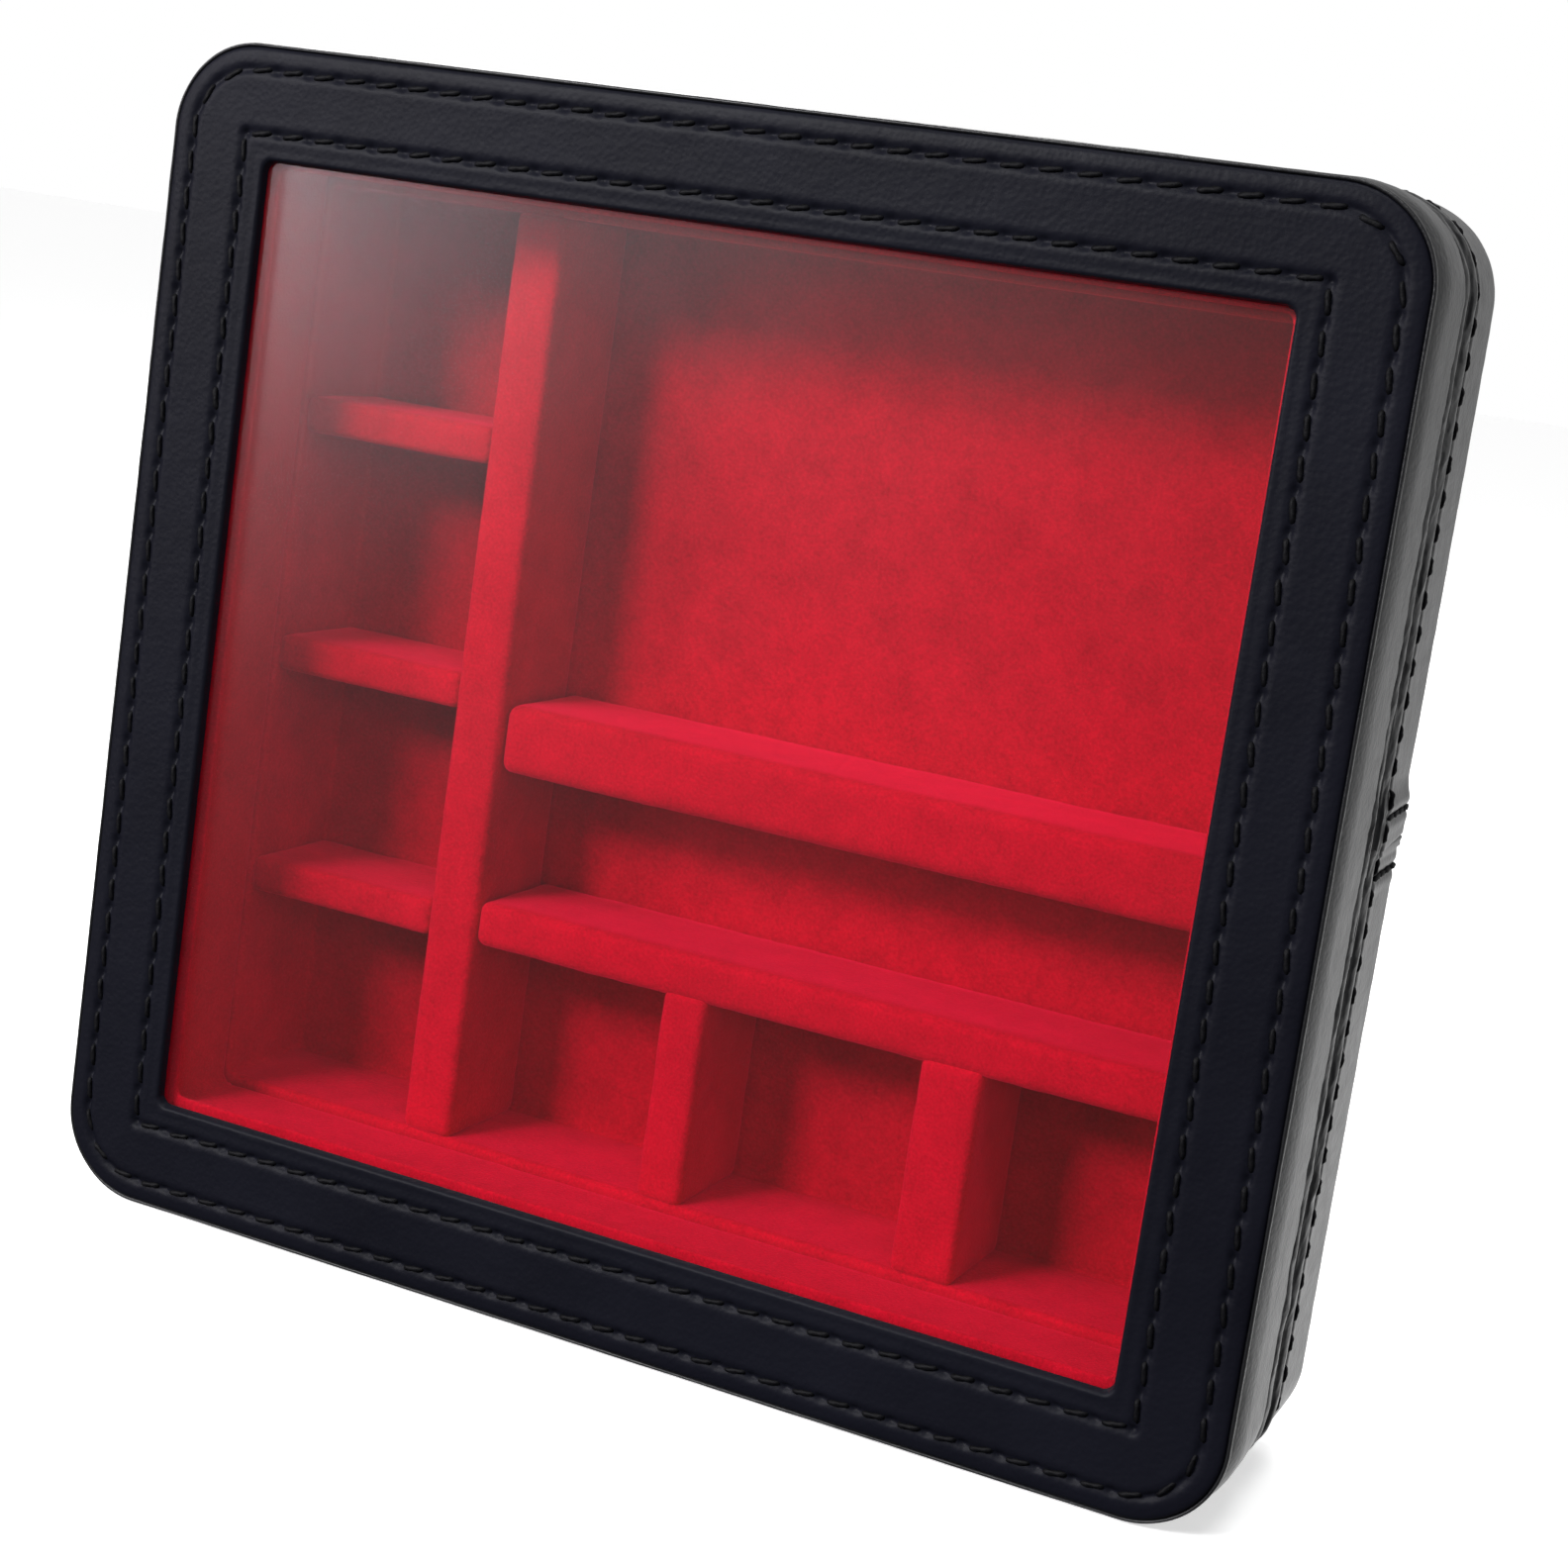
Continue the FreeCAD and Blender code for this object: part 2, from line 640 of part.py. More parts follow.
UP_FROM = "park_z + slider_gap"
UP_TO = "park_z + slider_gap + slider_len"
DOWN_FROM = "park_z - slider_gap - slider_len"
DOWN_TO = "park_z - slider_gap"
UP_PIN = "park_z + slider_gap + pin_up"
DOWN_PIN = "park_z - slider_gap - pin_up"
small_parts = [
    slider("slider_upper", UP_FROM, UP_TO, UP_FROM, UP_FROM + " + post_len", UP_PIN),
    slider("slider_lower", DOWN_FROM, DOWN_TO, DOWN_TO + " - post_len", DOWN_TO, DOWN_PIN),
    pull("pull_upper", UP_PIN),
    pull("pull_lower", DOWN_PIN),
]

# bar stitches that hold the two ends of the base band, one row each side of the joint
bars = []
for side, sign in (("above", "+"), ("below", "-")):
    for step in range(4):
        depth = "side_line_y + bar_stitch_pitch * (%d + 0.9)" % step
        level = "park_z %s bar_stitch_reach" % sign
        bars.append(block(
            "bar_%s_%d" % (side, step), "case_w / 2", "case_w / 2 + thread_t",
            depth, depth + " + bar_stitch_len",
            level + " - bar_stitch_w / 2", level + " + bar_stitch_w / 2"))
band_end_stitches = doc.addObject("Part::Compound", "band_end_stitches")
band_end_stitches.Label = "band_end_stitches"
band_end_stitches.Links = bars

doc.recompute()

# ---------------------------------------------------------------- export

NODES = [
    front_panel, outer_thread, inner_thread, back_thread, side_thread, edge_piping, lid_side_band, spine_leaf_lid,
    lid_frame, window_pane, window_retainer, lid_lining, lid_zip_flap,
    base_frame, back_board, back_panel, back_lining, wall_lining, spine_leaf_base,
    side_band_upper, side_band_lower, band_end_stitches,
] + zip_parts + pads + small_parts

for item in doc.Objects:
    for state in ("Invalid", "Error"):
        if state in item.State:
            raise RuntimeError(item.Label + " is " + state)
for node in NODES:
    if node.Shape.isNull() or not node.Shape.isValid():
        raise RuntimeError(node.Label + " has no valid shape")
    node.Shape.exportStep("parts/" + node.Label + ".step")
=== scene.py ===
import math

import bmesh
import bpy
import numpy as np
from mathutils import Matrix


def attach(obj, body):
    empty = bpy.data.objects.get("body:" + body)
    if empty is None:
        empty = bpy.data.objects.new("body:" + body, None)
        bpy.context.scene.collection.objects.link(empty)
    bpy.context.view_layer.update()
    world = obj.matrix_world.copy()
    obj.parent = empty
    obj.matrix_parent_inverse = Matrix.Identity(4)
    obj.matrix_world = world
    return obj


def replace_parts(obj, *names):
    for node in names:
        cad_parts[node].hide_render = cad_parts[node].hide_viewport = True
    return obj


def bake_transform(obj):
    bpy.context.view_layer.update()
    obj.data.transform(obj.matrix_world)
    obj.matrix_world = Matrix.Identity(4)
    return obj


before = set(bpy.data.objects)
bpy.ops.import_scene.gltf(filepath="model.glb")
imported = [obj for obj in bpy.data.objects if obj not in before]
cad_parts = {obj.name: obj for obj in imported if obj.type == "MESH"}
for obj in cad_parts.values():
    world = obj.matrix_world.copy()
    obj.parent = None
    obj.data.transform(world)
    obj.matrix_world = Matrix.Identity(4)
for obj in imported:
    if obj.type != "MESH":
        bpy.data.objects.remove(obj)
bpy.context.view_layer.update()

MM = 0.001
RNG = np.random.default_rng(11)

# ------------------------------------------------------------------ sizes (mm)
# x runs to the right, y to the back and z up, as in the CAD. An inset is a distance
# inwards from the case's outline, seen from the front.

CASE_W, CASE_H, MID_Z, CORNER = 165.0, 156.0, 78.0, 12.0
FACE_Y, REAR_Y = -18.5, 18.5
LINE_Y = -2.5                          # where the lid's side band ends
JOINT_Z = 80.1                         # where the ends of the base's side band meet
BAR_ROWS = (83.8, 76.4)                # heights of the bar stitches that hold those ends
OUTER_LINE, INNER_LINE = 3.6, 11.5     # insets of the front's two sewn lines
SIDE_LINE_Y = 5.0                      # the sewn line behind the zip
FRONT_STEP, SIDE_STEP = 4.65, 4.0      # stitch pitches
COIL_INSET = 4.15                      # middle of the zip's coil

# ------------------------------------------------------------------ helpers


def smooth(t):
    t = np.clip(t, 0.0, 1.0)
    return t * t * (3 - 2 * t)


def ripple(points, size, seed, octaves=3):
    """Smooth noise in about -1..1 at points (n, 3) in mm, features about size mm."""
    rng = np.random.default_rng(seed)
    flat = points.reshape(-1, 3)
    total = np.zeros(len(flat))
    weight = 0.0
    for octave in range(octaves):
        scale = size / (2.0 ** octave)
        gain = 0.6 ** octave
        layer = np.zeros(len(flat))
        for _ in range(7):
            way = rng.normal(size=3)
            way /= np.linalg.norm(way)
            way *= 2 * math.pi / (scale * rng.uniform(0.7, 1.5))
            layer += np.sin(flat @ way + rng.uniform(0, 2 * math.pi))
        total += gain * layer / 2.6
        weight += gain
    return (total / weight).reshape(points.shape[:-1])


class Outline:
    """A rounded rectangle seen from the front, and the curves inside it.

    The outline is cut into eight runs, in order: bottom-left arc, bottom,
    bottom-right arc, right side, top-right arc, top, top-left arc, left side.
    least(inset) is the smallest radius that its corners shrink to.
    """

    def __init__(self, wide, tall, radius, mid_z, least):
        self.wide, self.tall, self.radius = wide, tall, radius
        self.mid_z, self.least = mid_z, least

    def at(self, run, part, inset):
        """x, z and the outward normal at part 0..1 of a run, inset mm inwards."""
        run, part, inset = np.broadcast_arrays(
            np.asarray(run), np.asarray(part, float), np.asarray(inset, float))
        rad = np.maximum(self.radius - inset, self.least(inset))
        cx = self.wide / 2 - inset - rad
        cz = self.tall / 2 - inset - rad
        side_x = np.array([-1, 0, 1, 1, 1, 0, -1, -1])[run]
        side_z = np.array([-1, -1, -1, 0, 1, 1, 1, 0])[run]
        start = np.radians(np.array([180, 270, 270, 0, 0, 90, 90, 180])[run])
        arc = (run % 2) == 0
        turn = start + np.where(arc, part, 0.0) * math.pi / 2
        nx, nz = np.cos(turn), np.sin(turn)
        go = 2 * part - 1
        x = np.where(arc, side_x * cx + rad * nx, 0.0)
        z = np.where(arc, side_z * cz + rad * nz, 0.0)
        x = np.where(run == 1, go * cx, x)
        z = np.where(run == 1, -cz - rad, z)
        x = np.where(run == 3, cx + rad, x)
        z = np.where(run == 3, go * cz, z)
        x = np.where(run == 5, -go * cx, x)
        z = np.where(run == 5, cz + rad, z)
        x = np.where(run == 7, -cx - rad, x)
        z = np.where(run == 7, -go * cz, z)
        return x, z + self.mid_z, nx, nz

    def stations(self, step, spans, inset=0.0):
        """Runs and parts of points about step mm apart along spans (run, from, to)."""
        runs, parts = [], []
        for run, start, stop in spans:
            probe = np.linspace(start, stop, 40)
            x, z, _, _ = self.at(np.full(40, run), probe, inset)
            length = np.hypot(np.diff(x), np.diff(z)).sum()
            count = max(3, int(math.ceil(length / step)))
            values = np.linspace(start, stop, count + 1)
            if runs:
                values = values[1:]
            runs.append(np.full(len(values), run))
            parts.append(values)
        return np.concatenate(runs), np.concatenate(parts)

    def travel(self, run, part, inset):
        """Distance along the curve at that inset, for each station."""
        x, z, _, _ = self.at(run, part, inset)
        return np.concatenate([[0.0], np.cumsum(np.hypot(np.diff(x), np.diff(z)))])


def window_corner(inset):
    """Least corner radius: sharp at the inner stitching, soft at the window."""
    return 0.35 + 1.1 * smooth((inset - 12.2) / 2.2)


CASE = Outline(CASE_W, CASE_H, CORNER, MID_Z, window_corner)
WHOLE = [(r, 0.0, 1.0) for r in range(8)]
THREE_SIDES = [(r, 0.0, 1.0) for r in range(7)]


def right_part(z):
    """Part of the right-hand run at height z."""
    return (z - CORNER) / (CASE_H - 2 * CORNER)


def show(name, data):
    """A new object in the scene, with this mesh, light or camera."""
    obj = bpy.data.objects.new(name, data)
    bpy.context.scene.collection.objects.link(obj)
    return obj


def mesh_object(name, verts, faces, material, body):
    """A smooth-shaded piece from points in mm. It rides on a body, if one is given."""
    mesh = bpy.data.meshes.new(name)
    mesh.from_pydata([tuple(v) for v in np.asarray(verts) * MM], [], faces)
    mesh.validate()
    mesh.polygons.foreach_set("use_smooth", [True] * len(mesh.polygons))
    obj = show(name, mesh)
    obj.data.materials.append(material)
    if body:
        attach(obj, body)
    return obj


def grid_faces(rows, cols, closed, flip=False):
    """Faces of a grid of points; a closed one joins its last row to its first."""
    faces = []
    last = rows if closed else rows - 1
    for i in range(last):
        a = i * cols
        b = ((i + 1) % rows) * cols
        for j in range(cols - 1):
            quad = (a + j, a + j + 1, b + j + 1, b + j)
            faces.append(quad[::-1] if flip else quad)
    return faces


def profile_normals(profile, outward):
    """Unit normals of a profile of (inset, y) points, on its outward side."""
    way = np.gradient(profile, axis=0)
    norm = np.stack([-way[:, 1], way[:, 0]], axis=1)
    norm /= np.maximum(np.linalg.norm(norm, axis=1, keepdims=True), 1e-9)
    return norm * outward


def dense(points, step):
    """More points along a profile, no further apart than step."""
    points = np.asarray(points, float)
    out = [points[0]]
    for a, b in zip(points[:-1], points[1:]):
        count = max(1, int(math.ceil(np.linalg.norm(b - a) / step)))
        for k in range(1, count + 1):
            out.append(a + (b - a) * k / count)
    return np.array(out)


def rounded(points, rounds=2):
    """Chaikin rounding of an open profile."""
    points = np.asarray(points, float)
    for _ in range(rounds):
        new = [points[0]]
        for a, b in zip(points[:-1], points[1:]):
            new.append(a * 0.75 + b * 0.25)
            new.append(a * 0.25 + b * 0.75)
        new.append(points[-1])
        points = np.array(new)
    return points


def carried(outline, run, part, profile, norm, lift):
    """Points of a profile carried to each station, raised by lift along its normals."""
    inset = np.repeat(profile[None, :, 0], len(run), axis=0)
    y = np.repeat(profile[None, :, 1], len(run), axis=0)
    x, z, _, _ = outline.at(run[:, None], part[:, None], inset)
    if lift is not None:
        rise = lift(np.stack([x, y, z], axis=-1), run, part, inset)
        inset = inset + rise * norm[None, :, 0]
        y = y + rise * norm[None, :, 1]
        x, z, _, _ = outline.at(run[:, None], part[:, None], inset)
    return x, y, z


def sweep(name, outline, spans, step, profile, outward, material, body,
          lift=None, shape=None, closed=False, step_inset=0.0):
    """Carries a profile of (inset, y) points round an outline.

    lift(points, run, part, inset) gives mm along the profile's normal, and
    shape(x, y, z) may move the finished points.
    """
    run, part = outline.stations(step, spans, step_inset)
    if closed:
        run, part = run[:-1], part[:-1]
    x, y, z = carried(outline, run, part, profile, profile_normals(profile, outward), lift)
    if shape is not None:
        x, y, z = shape(x, y, z)
    verts = np.stack([x, y, z], axis=-1).reshape(-1, 3)
    faces = grid_faces(len(run), len(profile), closed, flip=outward < 0)
    return mesh_object(name, verts, faces, material, body)


# ------------------------------------------------------------------ materials


def node_material(name):
    """A new material, its links.new, its tree and its Principled shader."""
    mat = bpy.data.materials.new(name)
    mat.use_nodes = True
    tree = mat.node_tree
    return mat, tree, tree.links.new, tree.nodes["Principled BSDF"]


def object_place(tree):
    """Each point's place on the object, in metres."""
    return tree.nodes.new("ShaderNodeTexCoord").outputs["Object"]


def add(tree, kind, **values):
    """A node with settings and unlinked input values by name (_ for a space)."""
    node = tree.nodes.new(kind)
    for key, value in values.items():
        if hasattr(node, key):
            setattr(node, key, value)
        else:
            node.inputs[key.replace("_", " ")].default_value = value
    return node


def map_range(tree, source, low_in, high_in, low_out, high_out):
    """The output of a node that maps source linearly, held between its ends."""
    node = tree.nodes.new("ShaderNodeMapRange")
    node.inputs["From Min"].default_value = low_in
    node.inputs["From Max"].default_value = high_in
    node.inputs["To Min"].default_value = low_out
    node.inputs["To Max"].default_value = high_out
    tree.links.new(source, node.inputs["Value"])
    return node.outputs["Result"]


def math_node(tree, operation, first, second, third=None):
    """The output of a Math node on sockets and numbers."""
    node = add(tree, "ShaderNodeMath", operation=operation)
    for socket, value in zip(node.inputs, (first, second, third)):
        if isinstance(value, float):
            socket.default_value = value
        elif value is not None:
            tree.links.new(value, socket)
    return node.outputs["Value"]


def bumps(tree, shader, layers):
    """Stacks bump nodes of (height, strength, distance), and gives them to the shader."""
    below = None
    for height, strength, distance in layers:
        node = add(tree, "ShaderNodeBump", Strength=strength, Distance=distance)
        tree.links.new(height, node.inputs["Height"])
        if below is not None:
            tree.links.new(below, node.inputs["Normal"])
        below = node.outputs["Normal"]
    tree.links.new(below, shader.inputs["Normal"])


def noise(tree, place, scale, detail, roughness):
    node = add(tree, "ShaderNodeTexNoise", Scale=scale, Detail=detail, Roughness=roughness)
    tree.links.new(place, node.inputs["Vector"])
    return node.outputs["Fac"]


def tinted(tree, shader, source, low, high, colour_low, colour_high):
    """The shader's colour, from a ramp between two colours."""
    node = tree.nodes.new("ShaderNodeValToRGB")
    node.color_ramp.elements[0].position = low
    node.color_ramp.elements[1].position = high
    node.color_ramp.elements[0].color = (*colour_low, 1)
    node.color_ramp.elements[1].color = (*colour_high, 1)
    tree.links.new(source, node.inputs["Fac"])
    tree.links.new(node.outputs["Color"], shader.inputs["Base Color"])


def leather(name, dark, light, rough_low, rough_high, gloss_level, grain):
    """Embossed leatherette: fine pebble, faint creases and uneven gloss."""
    mat, tree, link, shader = node_material(name)
    place = object_place(tree)
    cloud = noise(tree, place, 42.0, 4.0, 0.6)
    tinted(tree, shader, cloud, 0.3, 0.75, dark, light)
    pebble = add(tree, "ShaderNodeTexVoronoi", Scale=1500.0, feature="SMOOTH_F1")
    pebble.inputs["Smoothness"].default_value = 0.6
    link(place, pebble.inputs["Vector"])
    fine = noise(tree, place, 3400.0, 3.0, 0.65)
    crease = noise(tree, place, 320.0, 5.0, 0.6)
    bumps(tree, shader, ((pebble.outputs["Distance"], 0.16 * grain, 0.00012),
                         (fine, 0.10 * grain, 0.00006), (crease, 0.10 * grain, 0.0003)))
    link(map_range(tree, crease, 0.0, 1.0, rough_low, rough_high), shader.inputs["Roughness"])
    shader.inputs["Specular IOR Level"].default_value = gloss_level
    return mat


def flock(name, dark, light):
    """Red flock: short pile that lies in patches, brighter at grazing angles."""
    mat, tree, _, shader = node_material(name)
    place = object_place(tree)
    nap = noise(tree, place, 210.0, 5.0, 0.65)
    fibre = noise(tree, place, 2600.0, 2.0, 0.7)
    patches = math_node(tree, "MULTIPLY", nap, 0.5)
    tinted(tree, shader, math_node(tree, "MULTIPLY_ADD", fibre, 0.85, patches), 0.36, 0.98,
           dark, light)
    shader.inputs["Roughness"].default_value = 0.95
    shader.inputs["Specular IOR Level"].default_value = 0.01
    shader.inputs["Sheen Weight"].default_value = 1.0
    shader.inputs["Sheen Roughness"].default_value = 0.40
    shader.inputs["Sheen Tint"].default_value = (0.9, 0.008, 0.06, 1)
    bumps(tree, shader, ((fibre, 0.50, 0.0002), (nap, 0.12, 0.0005)))
    return mat


def grainy(name, dark, light, scale, rough, bump, depth, metallic=0.0, stretch=None,
           gloss_level=0.5):
    """A plain surface with a fine uneven grain."""
    mat, tree, link, shader = node_material(name)
    place = object_place(tree)
    if stretch:
        mapping = tree.nodes.new("ShaderNodeMapping")
        mapping.inputs["Scale"].default_value = stretch
        link(place, mapping.inputs["Vector"])
        place = mapping.outputs["Vector"]
    grain = noise(tree, place, scale, 5.0, 0.6)
    tinted(tree, shader, grain, 0.35, 0.7, dark, light)
    shader.inputs["Roughness"].default_value = rough
    shader.inputs["Metallic"].default_value = metallic
    shader.inputs["Specular IOR Level"].default_value = gloss_level
    bumps(tree, shader, ((grain, bump, depth),))
    return mat


def pane_material():
    """Clear acrylic: mirrors softly, 4% head on and more at a steep angle, and lets
    the rest through."""
    mat, tree, link, shader = node_material("clear_acrylic")
    clear = tree.nodes.new("ShaderNodeBsdfTransparent")
    clear.inputs["Color"].default_value = (0.985, 0.99, 0.99, 1)
    shader.inputs["Base Color"].default_value = (0.93, 0.95, 0.96, 1)
    shader.inputs["Metallic"].default_value = 1.0
    smear = noise(tree, object_place(tree), 26.0, 3.0, 0.55)
    link(map_range(tree, smear, 0.0, 1.0, 0.23, 0.31), shader.inputs["Roughness"])
    edge = tree.nodes.new("ShaderNodeLayerWeight")
    edge.inputs["Blend"].default_value = 0.5
    steep = math_node(tree, "POWER", edge.outputs["Facing"], 5.0)
    mix = tree.nodes.new("ShaderNodeMixShader")
    link(math_node(tree, "MULTIPLY_ADD", steep, 0.96, 0.04), mix.inputs["Fac"])
    link(clear.outputs["BSDF"], mix.inputs[1])
    link(shader.outputs["BSDF"], mix.inputs[2])
    link(mix.outputs["Shader"], tree.nodes["Material Output"].inputs["Surface"])
    return mat


SIDE_DARK, SIDE_LIGHT = (0.0085, 0.0087, 0.0096), (0.0135, 0.0138, 0.0152)
LEATHER = leather("leatherette", (0.0036, 0.0038, 0.0068), (0.0061, 0.0064, 0.0108),
                  0.42, 0.54, 0.08, 1.8)
SIDE_LEATHER = leather("leatherette_side", SIDE_DARK, SIDE_LIGHT, 0.32, 0.44, 0.34, 2.0)
LID_LEATHER = leather("leatherette_lid_side", SIDE_DARK, SIDE_LIGHT, 0.32, 0.44, 0.21, 2.0)
THREAD = grainy("thread", (0.0012, 0.0012, 0.0018), (0.0038, 0.0038, 0.0050), 2400.0, 0.60,
                bump=0.5, depth=0.00012, gloss_level=0.12)
FLOCK = flock("red_flock", (0.27, 0.0004, 0.0070), (0.62, 0.0014, 0.0180))
BOARD = grainy("core_board", (0.008, 0.008, 0.009), (0.018, 0.0175, 0.018), 420.0, 0.85,
               bump=0.4, depth=0.0003, gloss_level=0.2)
TAPE = grainy("zip_tape", (0.008, 0.008, 0.009), (0.022, 0.022, 0.024), 1400.0, 0.85,
              bump=0.7, depth=0.0002, stretch=(1.0, 0.25, 1.0))
COIL = grainy("zip_coil", (0.008, 0.008, 0.009), (0.018, 0.018, 0.020), 1800.0, 0.38,
              bump=0.15, depth=0.0001)
METAL = grainy("dark_metal", (0.018, 0.018, 0.020), (0.035, 0.035, 0.038), 900.0, 0.35,
               metallic=0.6, bump=0.12, depth=0.0001)
ACRYLIC = pane_material()

# ------------------------------------------------------------------ stitching


def stitch_mesh(holes, up, radius=0.33, crown=-0.02, shrink=0.16, slant=0.22):
    """Threads between neighbouring holes, each a twisted cord that dips at both ends.

    holes: (n, 2, 3) start and end of each stitch; up: (n, 3) surface normals. A
    thread's middle is crown mm above the surface. It is shortened by the share
    shrink at each end, and turned by slant mm at each end.
    """
    rings, around = 13, 8        # points along a thread and round it
    strands = 3
    sink = 0.50                  # how deep its ends go
    verts, faces = [], []
    t = np.linspace(0.0, 1.0, rings)
    for index in range(len(holes)):
        start, end = holes[index]
        normal = up[index]
        along = end - start
        length = np.linalg.norm(along)
        along = along / length
        side = np.cross(along, normal)
        wobble = RNG.normal(0, 0.06, 2)
        a = start + along * shrink * length + side * (slant + wobble[0])
        b = end - along * shrink * length - side * (slant + wobble[1])
        way = (b - a) / np.linalg.norm(b - a)
        across = np.cross(way, normal)
        height = crown - (crown + sink) * np.abs(2 * t - 1) ** 5
        centre = a + (b - a) * t[:, None] + normal * height[:, None]
        twist = RNG.uniform(0, 6.28)
        base = len(verts)
        thick = radius * (1.0 + RNG.normal(0, 0.06) - 0.35 * np.abs(2 * t - 1) ** 6)
        for k in range(rings):
            for m in range(around):
                angle = 2 * math.pi * m / around
                fat = thick[k] * (1 + 0.20 * math.cos(strands * angle + twist + 12.0 * t[k]))
                verts.append(centre[k] + across * (fat * math.cos(angle))
                             + normal * (fat * 0.9 * math.sin(angle)))
        for k in range(rings - 1):
            for m in range(around):
                n = (m + 1) % around
                faces.append((base + k * around + m, base + (k + 1) * around + m,
                              base + (k + 1) * around + n, base + k * around + n))
        faces.append(tuple(base + m for m in range(around)))
        faces.append(tuple(base + (rings - 1) * around + m for m in range(around))[::-1])
    return verts, faces


def line_holes(outline, spans, inset, y, pitch, cornered=False):
    """Holes about a pitch apart along a sewn line: the stitches between them, the
    outward directions, and how far along the line each hole is. A cornered line
    has a hole in each of its corners."""
    run, part = outline.stations(0.25, spans, inset)
    x, z, nx, nz = outline.at(run, part, inset)
    gone = outline.travel(run, part, inset)
    if cornered:
        stops = [np.interp(0.5, part[run == r], gone[run == r]) for r in (0, 2, 4, 6)]
        stops.append(stops[0] + gone[-1])
        marks = [np.linspace(a, b, max(1, round((b - a) / pitch)) + 1)[:-1]
                 for a, b in zip(stops[:-1], stops[1:])]
        marks = np.mod(np.concatenate(marks + [stops[-1:]]), gone[-1])
    else:
        marks = np.linspace(0, gone[-1], int(round(gone[-1] / pitch)) + 1)
    points = np.stack([np.interp(marks, gone, x), np.full(len(marks), y),
                       np.interp(marks, gone, z)], axis=1)
    outs = np.stack([np.interp(marks, gone, nx), np.zeros(len(marks)),
                     np.interp(marks, gone, nz)], axis=1)
    outs /= np.linalg.norm(outs, axis=1, keepdims=True)
    return np.stack([points[:-1], points[1:]], axis=1), outs, marks


def to_hole(gone, marks):
    """Distance along a sewn line from each station to its nearest hole."""
    around = np.concatenate([marks, marks - gone[-1], marks + gone[-1]])
    return np.abs(gone[:, None] - around[None, :]).min(axis=1)[:, None]


def sewn(near, across, depth=0.20, hole=0.42, wide=0.50, spot=0.50):
    """How far leather sinks near a sewn line; across is the distance from the line."""
    groove = depth * np.exp(-(across / wide) ** 2)
    holes = hole * np.exp(-(near ** 2 + across ** 2) / spot ** 2)
    puff = 0.05 * np.exp(-((np.abs(across) - 1.1) / 0.6) ** 2)
    return puff - groove - holes


# ------------------------------------------------------------------ lid shell

FRONT_PAIRS, _, FRONT_MARKS = line_holes(CASE, WHOLE, OUTER_LINE, FACE_Y, FRONT_STEP)
INNER_PAIRS, _, INNER_MARKS = line_holes(CASE, WHOLE, INNER_LINE, FACE_Y, FRONT_STEP, True)


def front_lift(points, run, part, inset):
    near_outer = to_hole(CASE.travel(run, part, OUTER_LINE), FRONT_MARKS)
    near_inner = to_hole(CASE.travel(run, part, INNER_LINE), INNER_MARKS)
    flat = smooth((14.4 - inset) / 0.6)
    rise = sewn(near_outer, inset - OUTER_LINE)
    rise += sewn(near_inner, inset - INNER_LINE)
    rise += 0.10 * smooth((inset - OUTER_LINE) / 2) * smooth((INNER_LINE - inset) / 2)
    rise += 0.035 * ripple(points, 34.0, 3) + 0.012 * ripple(points, 6.0, 4)
    return rise * flat


front_profile = np.concatenate([
    rounded([(14.95, -17.32), (14.86, -17.8), (14.74, -18.26), (14.46, -18.50), (14.05, -18.52),
             (13.6, -18.5)], 2),
    dense([(13.4, -18.5), (10.2, -18.5)], 0.2),
    dense([(9.8, -18.5), (5.0, -18.5)], 0.5),
    dense([(4.85, -18.5), (2.35, -18.5)], 0.19),
    rounded([(2.2, -18.5), (1.6, -18.48), (1.05, -18.34), (0.78, -18.02), (0.74, -17.4)], 2),
])
front_leather = sweep("front_leather", CASE, WHOLE, 0.46, front_profile, 1.0, LEATHER, "lid",
                      lift=front_lift, closed=True, step_inset=8.0)
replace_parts(front_leather, "front_panel")


def sewn_line(name, node, pairs, up, body):
    """The stitches of one line on a flat face."""
    verts, faces = stitch_mesh(pairs, np.repeat(np.array([up]), len(pairs), axis=0))
    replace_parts(mesh_object(name, verts, faces, THREAD, body), node)


sewn_line("outer_stitches", "outer_stitching", FRONT_PAIRS, (0.0, -1.0, 0.0), "lid")
sewn_line("inner_stitches", "inner_stitching", INNER_PAIRS, (0.0, -1.0, 0.0), "lid")


def piping_lift(points, run, part, inset):
    return 0.03 * ripple(points, 9.0, 21)


piping_profile = rounded([(0.80, -17.2), (0.78, -17.7), (0.64, -18.02), (0.44, -18.08),
                          (0.26, -17.92), (0.20, -17.55), (0.30, -17.15), (0.62, -16.98),
                          (1.10, -17.0)], 3)
piping = sweep("edge_piping_bead", CASE, WHOLE, 0.8, piping_profile, 1.0, SIDE_LEATHER, "lid",
               lift=piping_lift, closed=True)
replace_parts(piping, "edge_piping")


def lid_band_lift(points, run, part, inset):
    y = points[..., 1]
    crown = 0.14 * np.sin(math.pi * np.clip((y + 17.0) / 14.0, 0, 1))
    wave = 0.05 * ripple(points, 26.0, 31) + 0.03 * ripple(points, 8.0, 32)
    edge = smooth((y + 6.0) / 3.0)
    wrinkle = 0.13 * edge * ripple(points * np.array([1.0, 0.4, 1.0]), 7.0, 33)
    return crown + wave * smooth((-inset + 0.6) / 0.6) + wrinkle


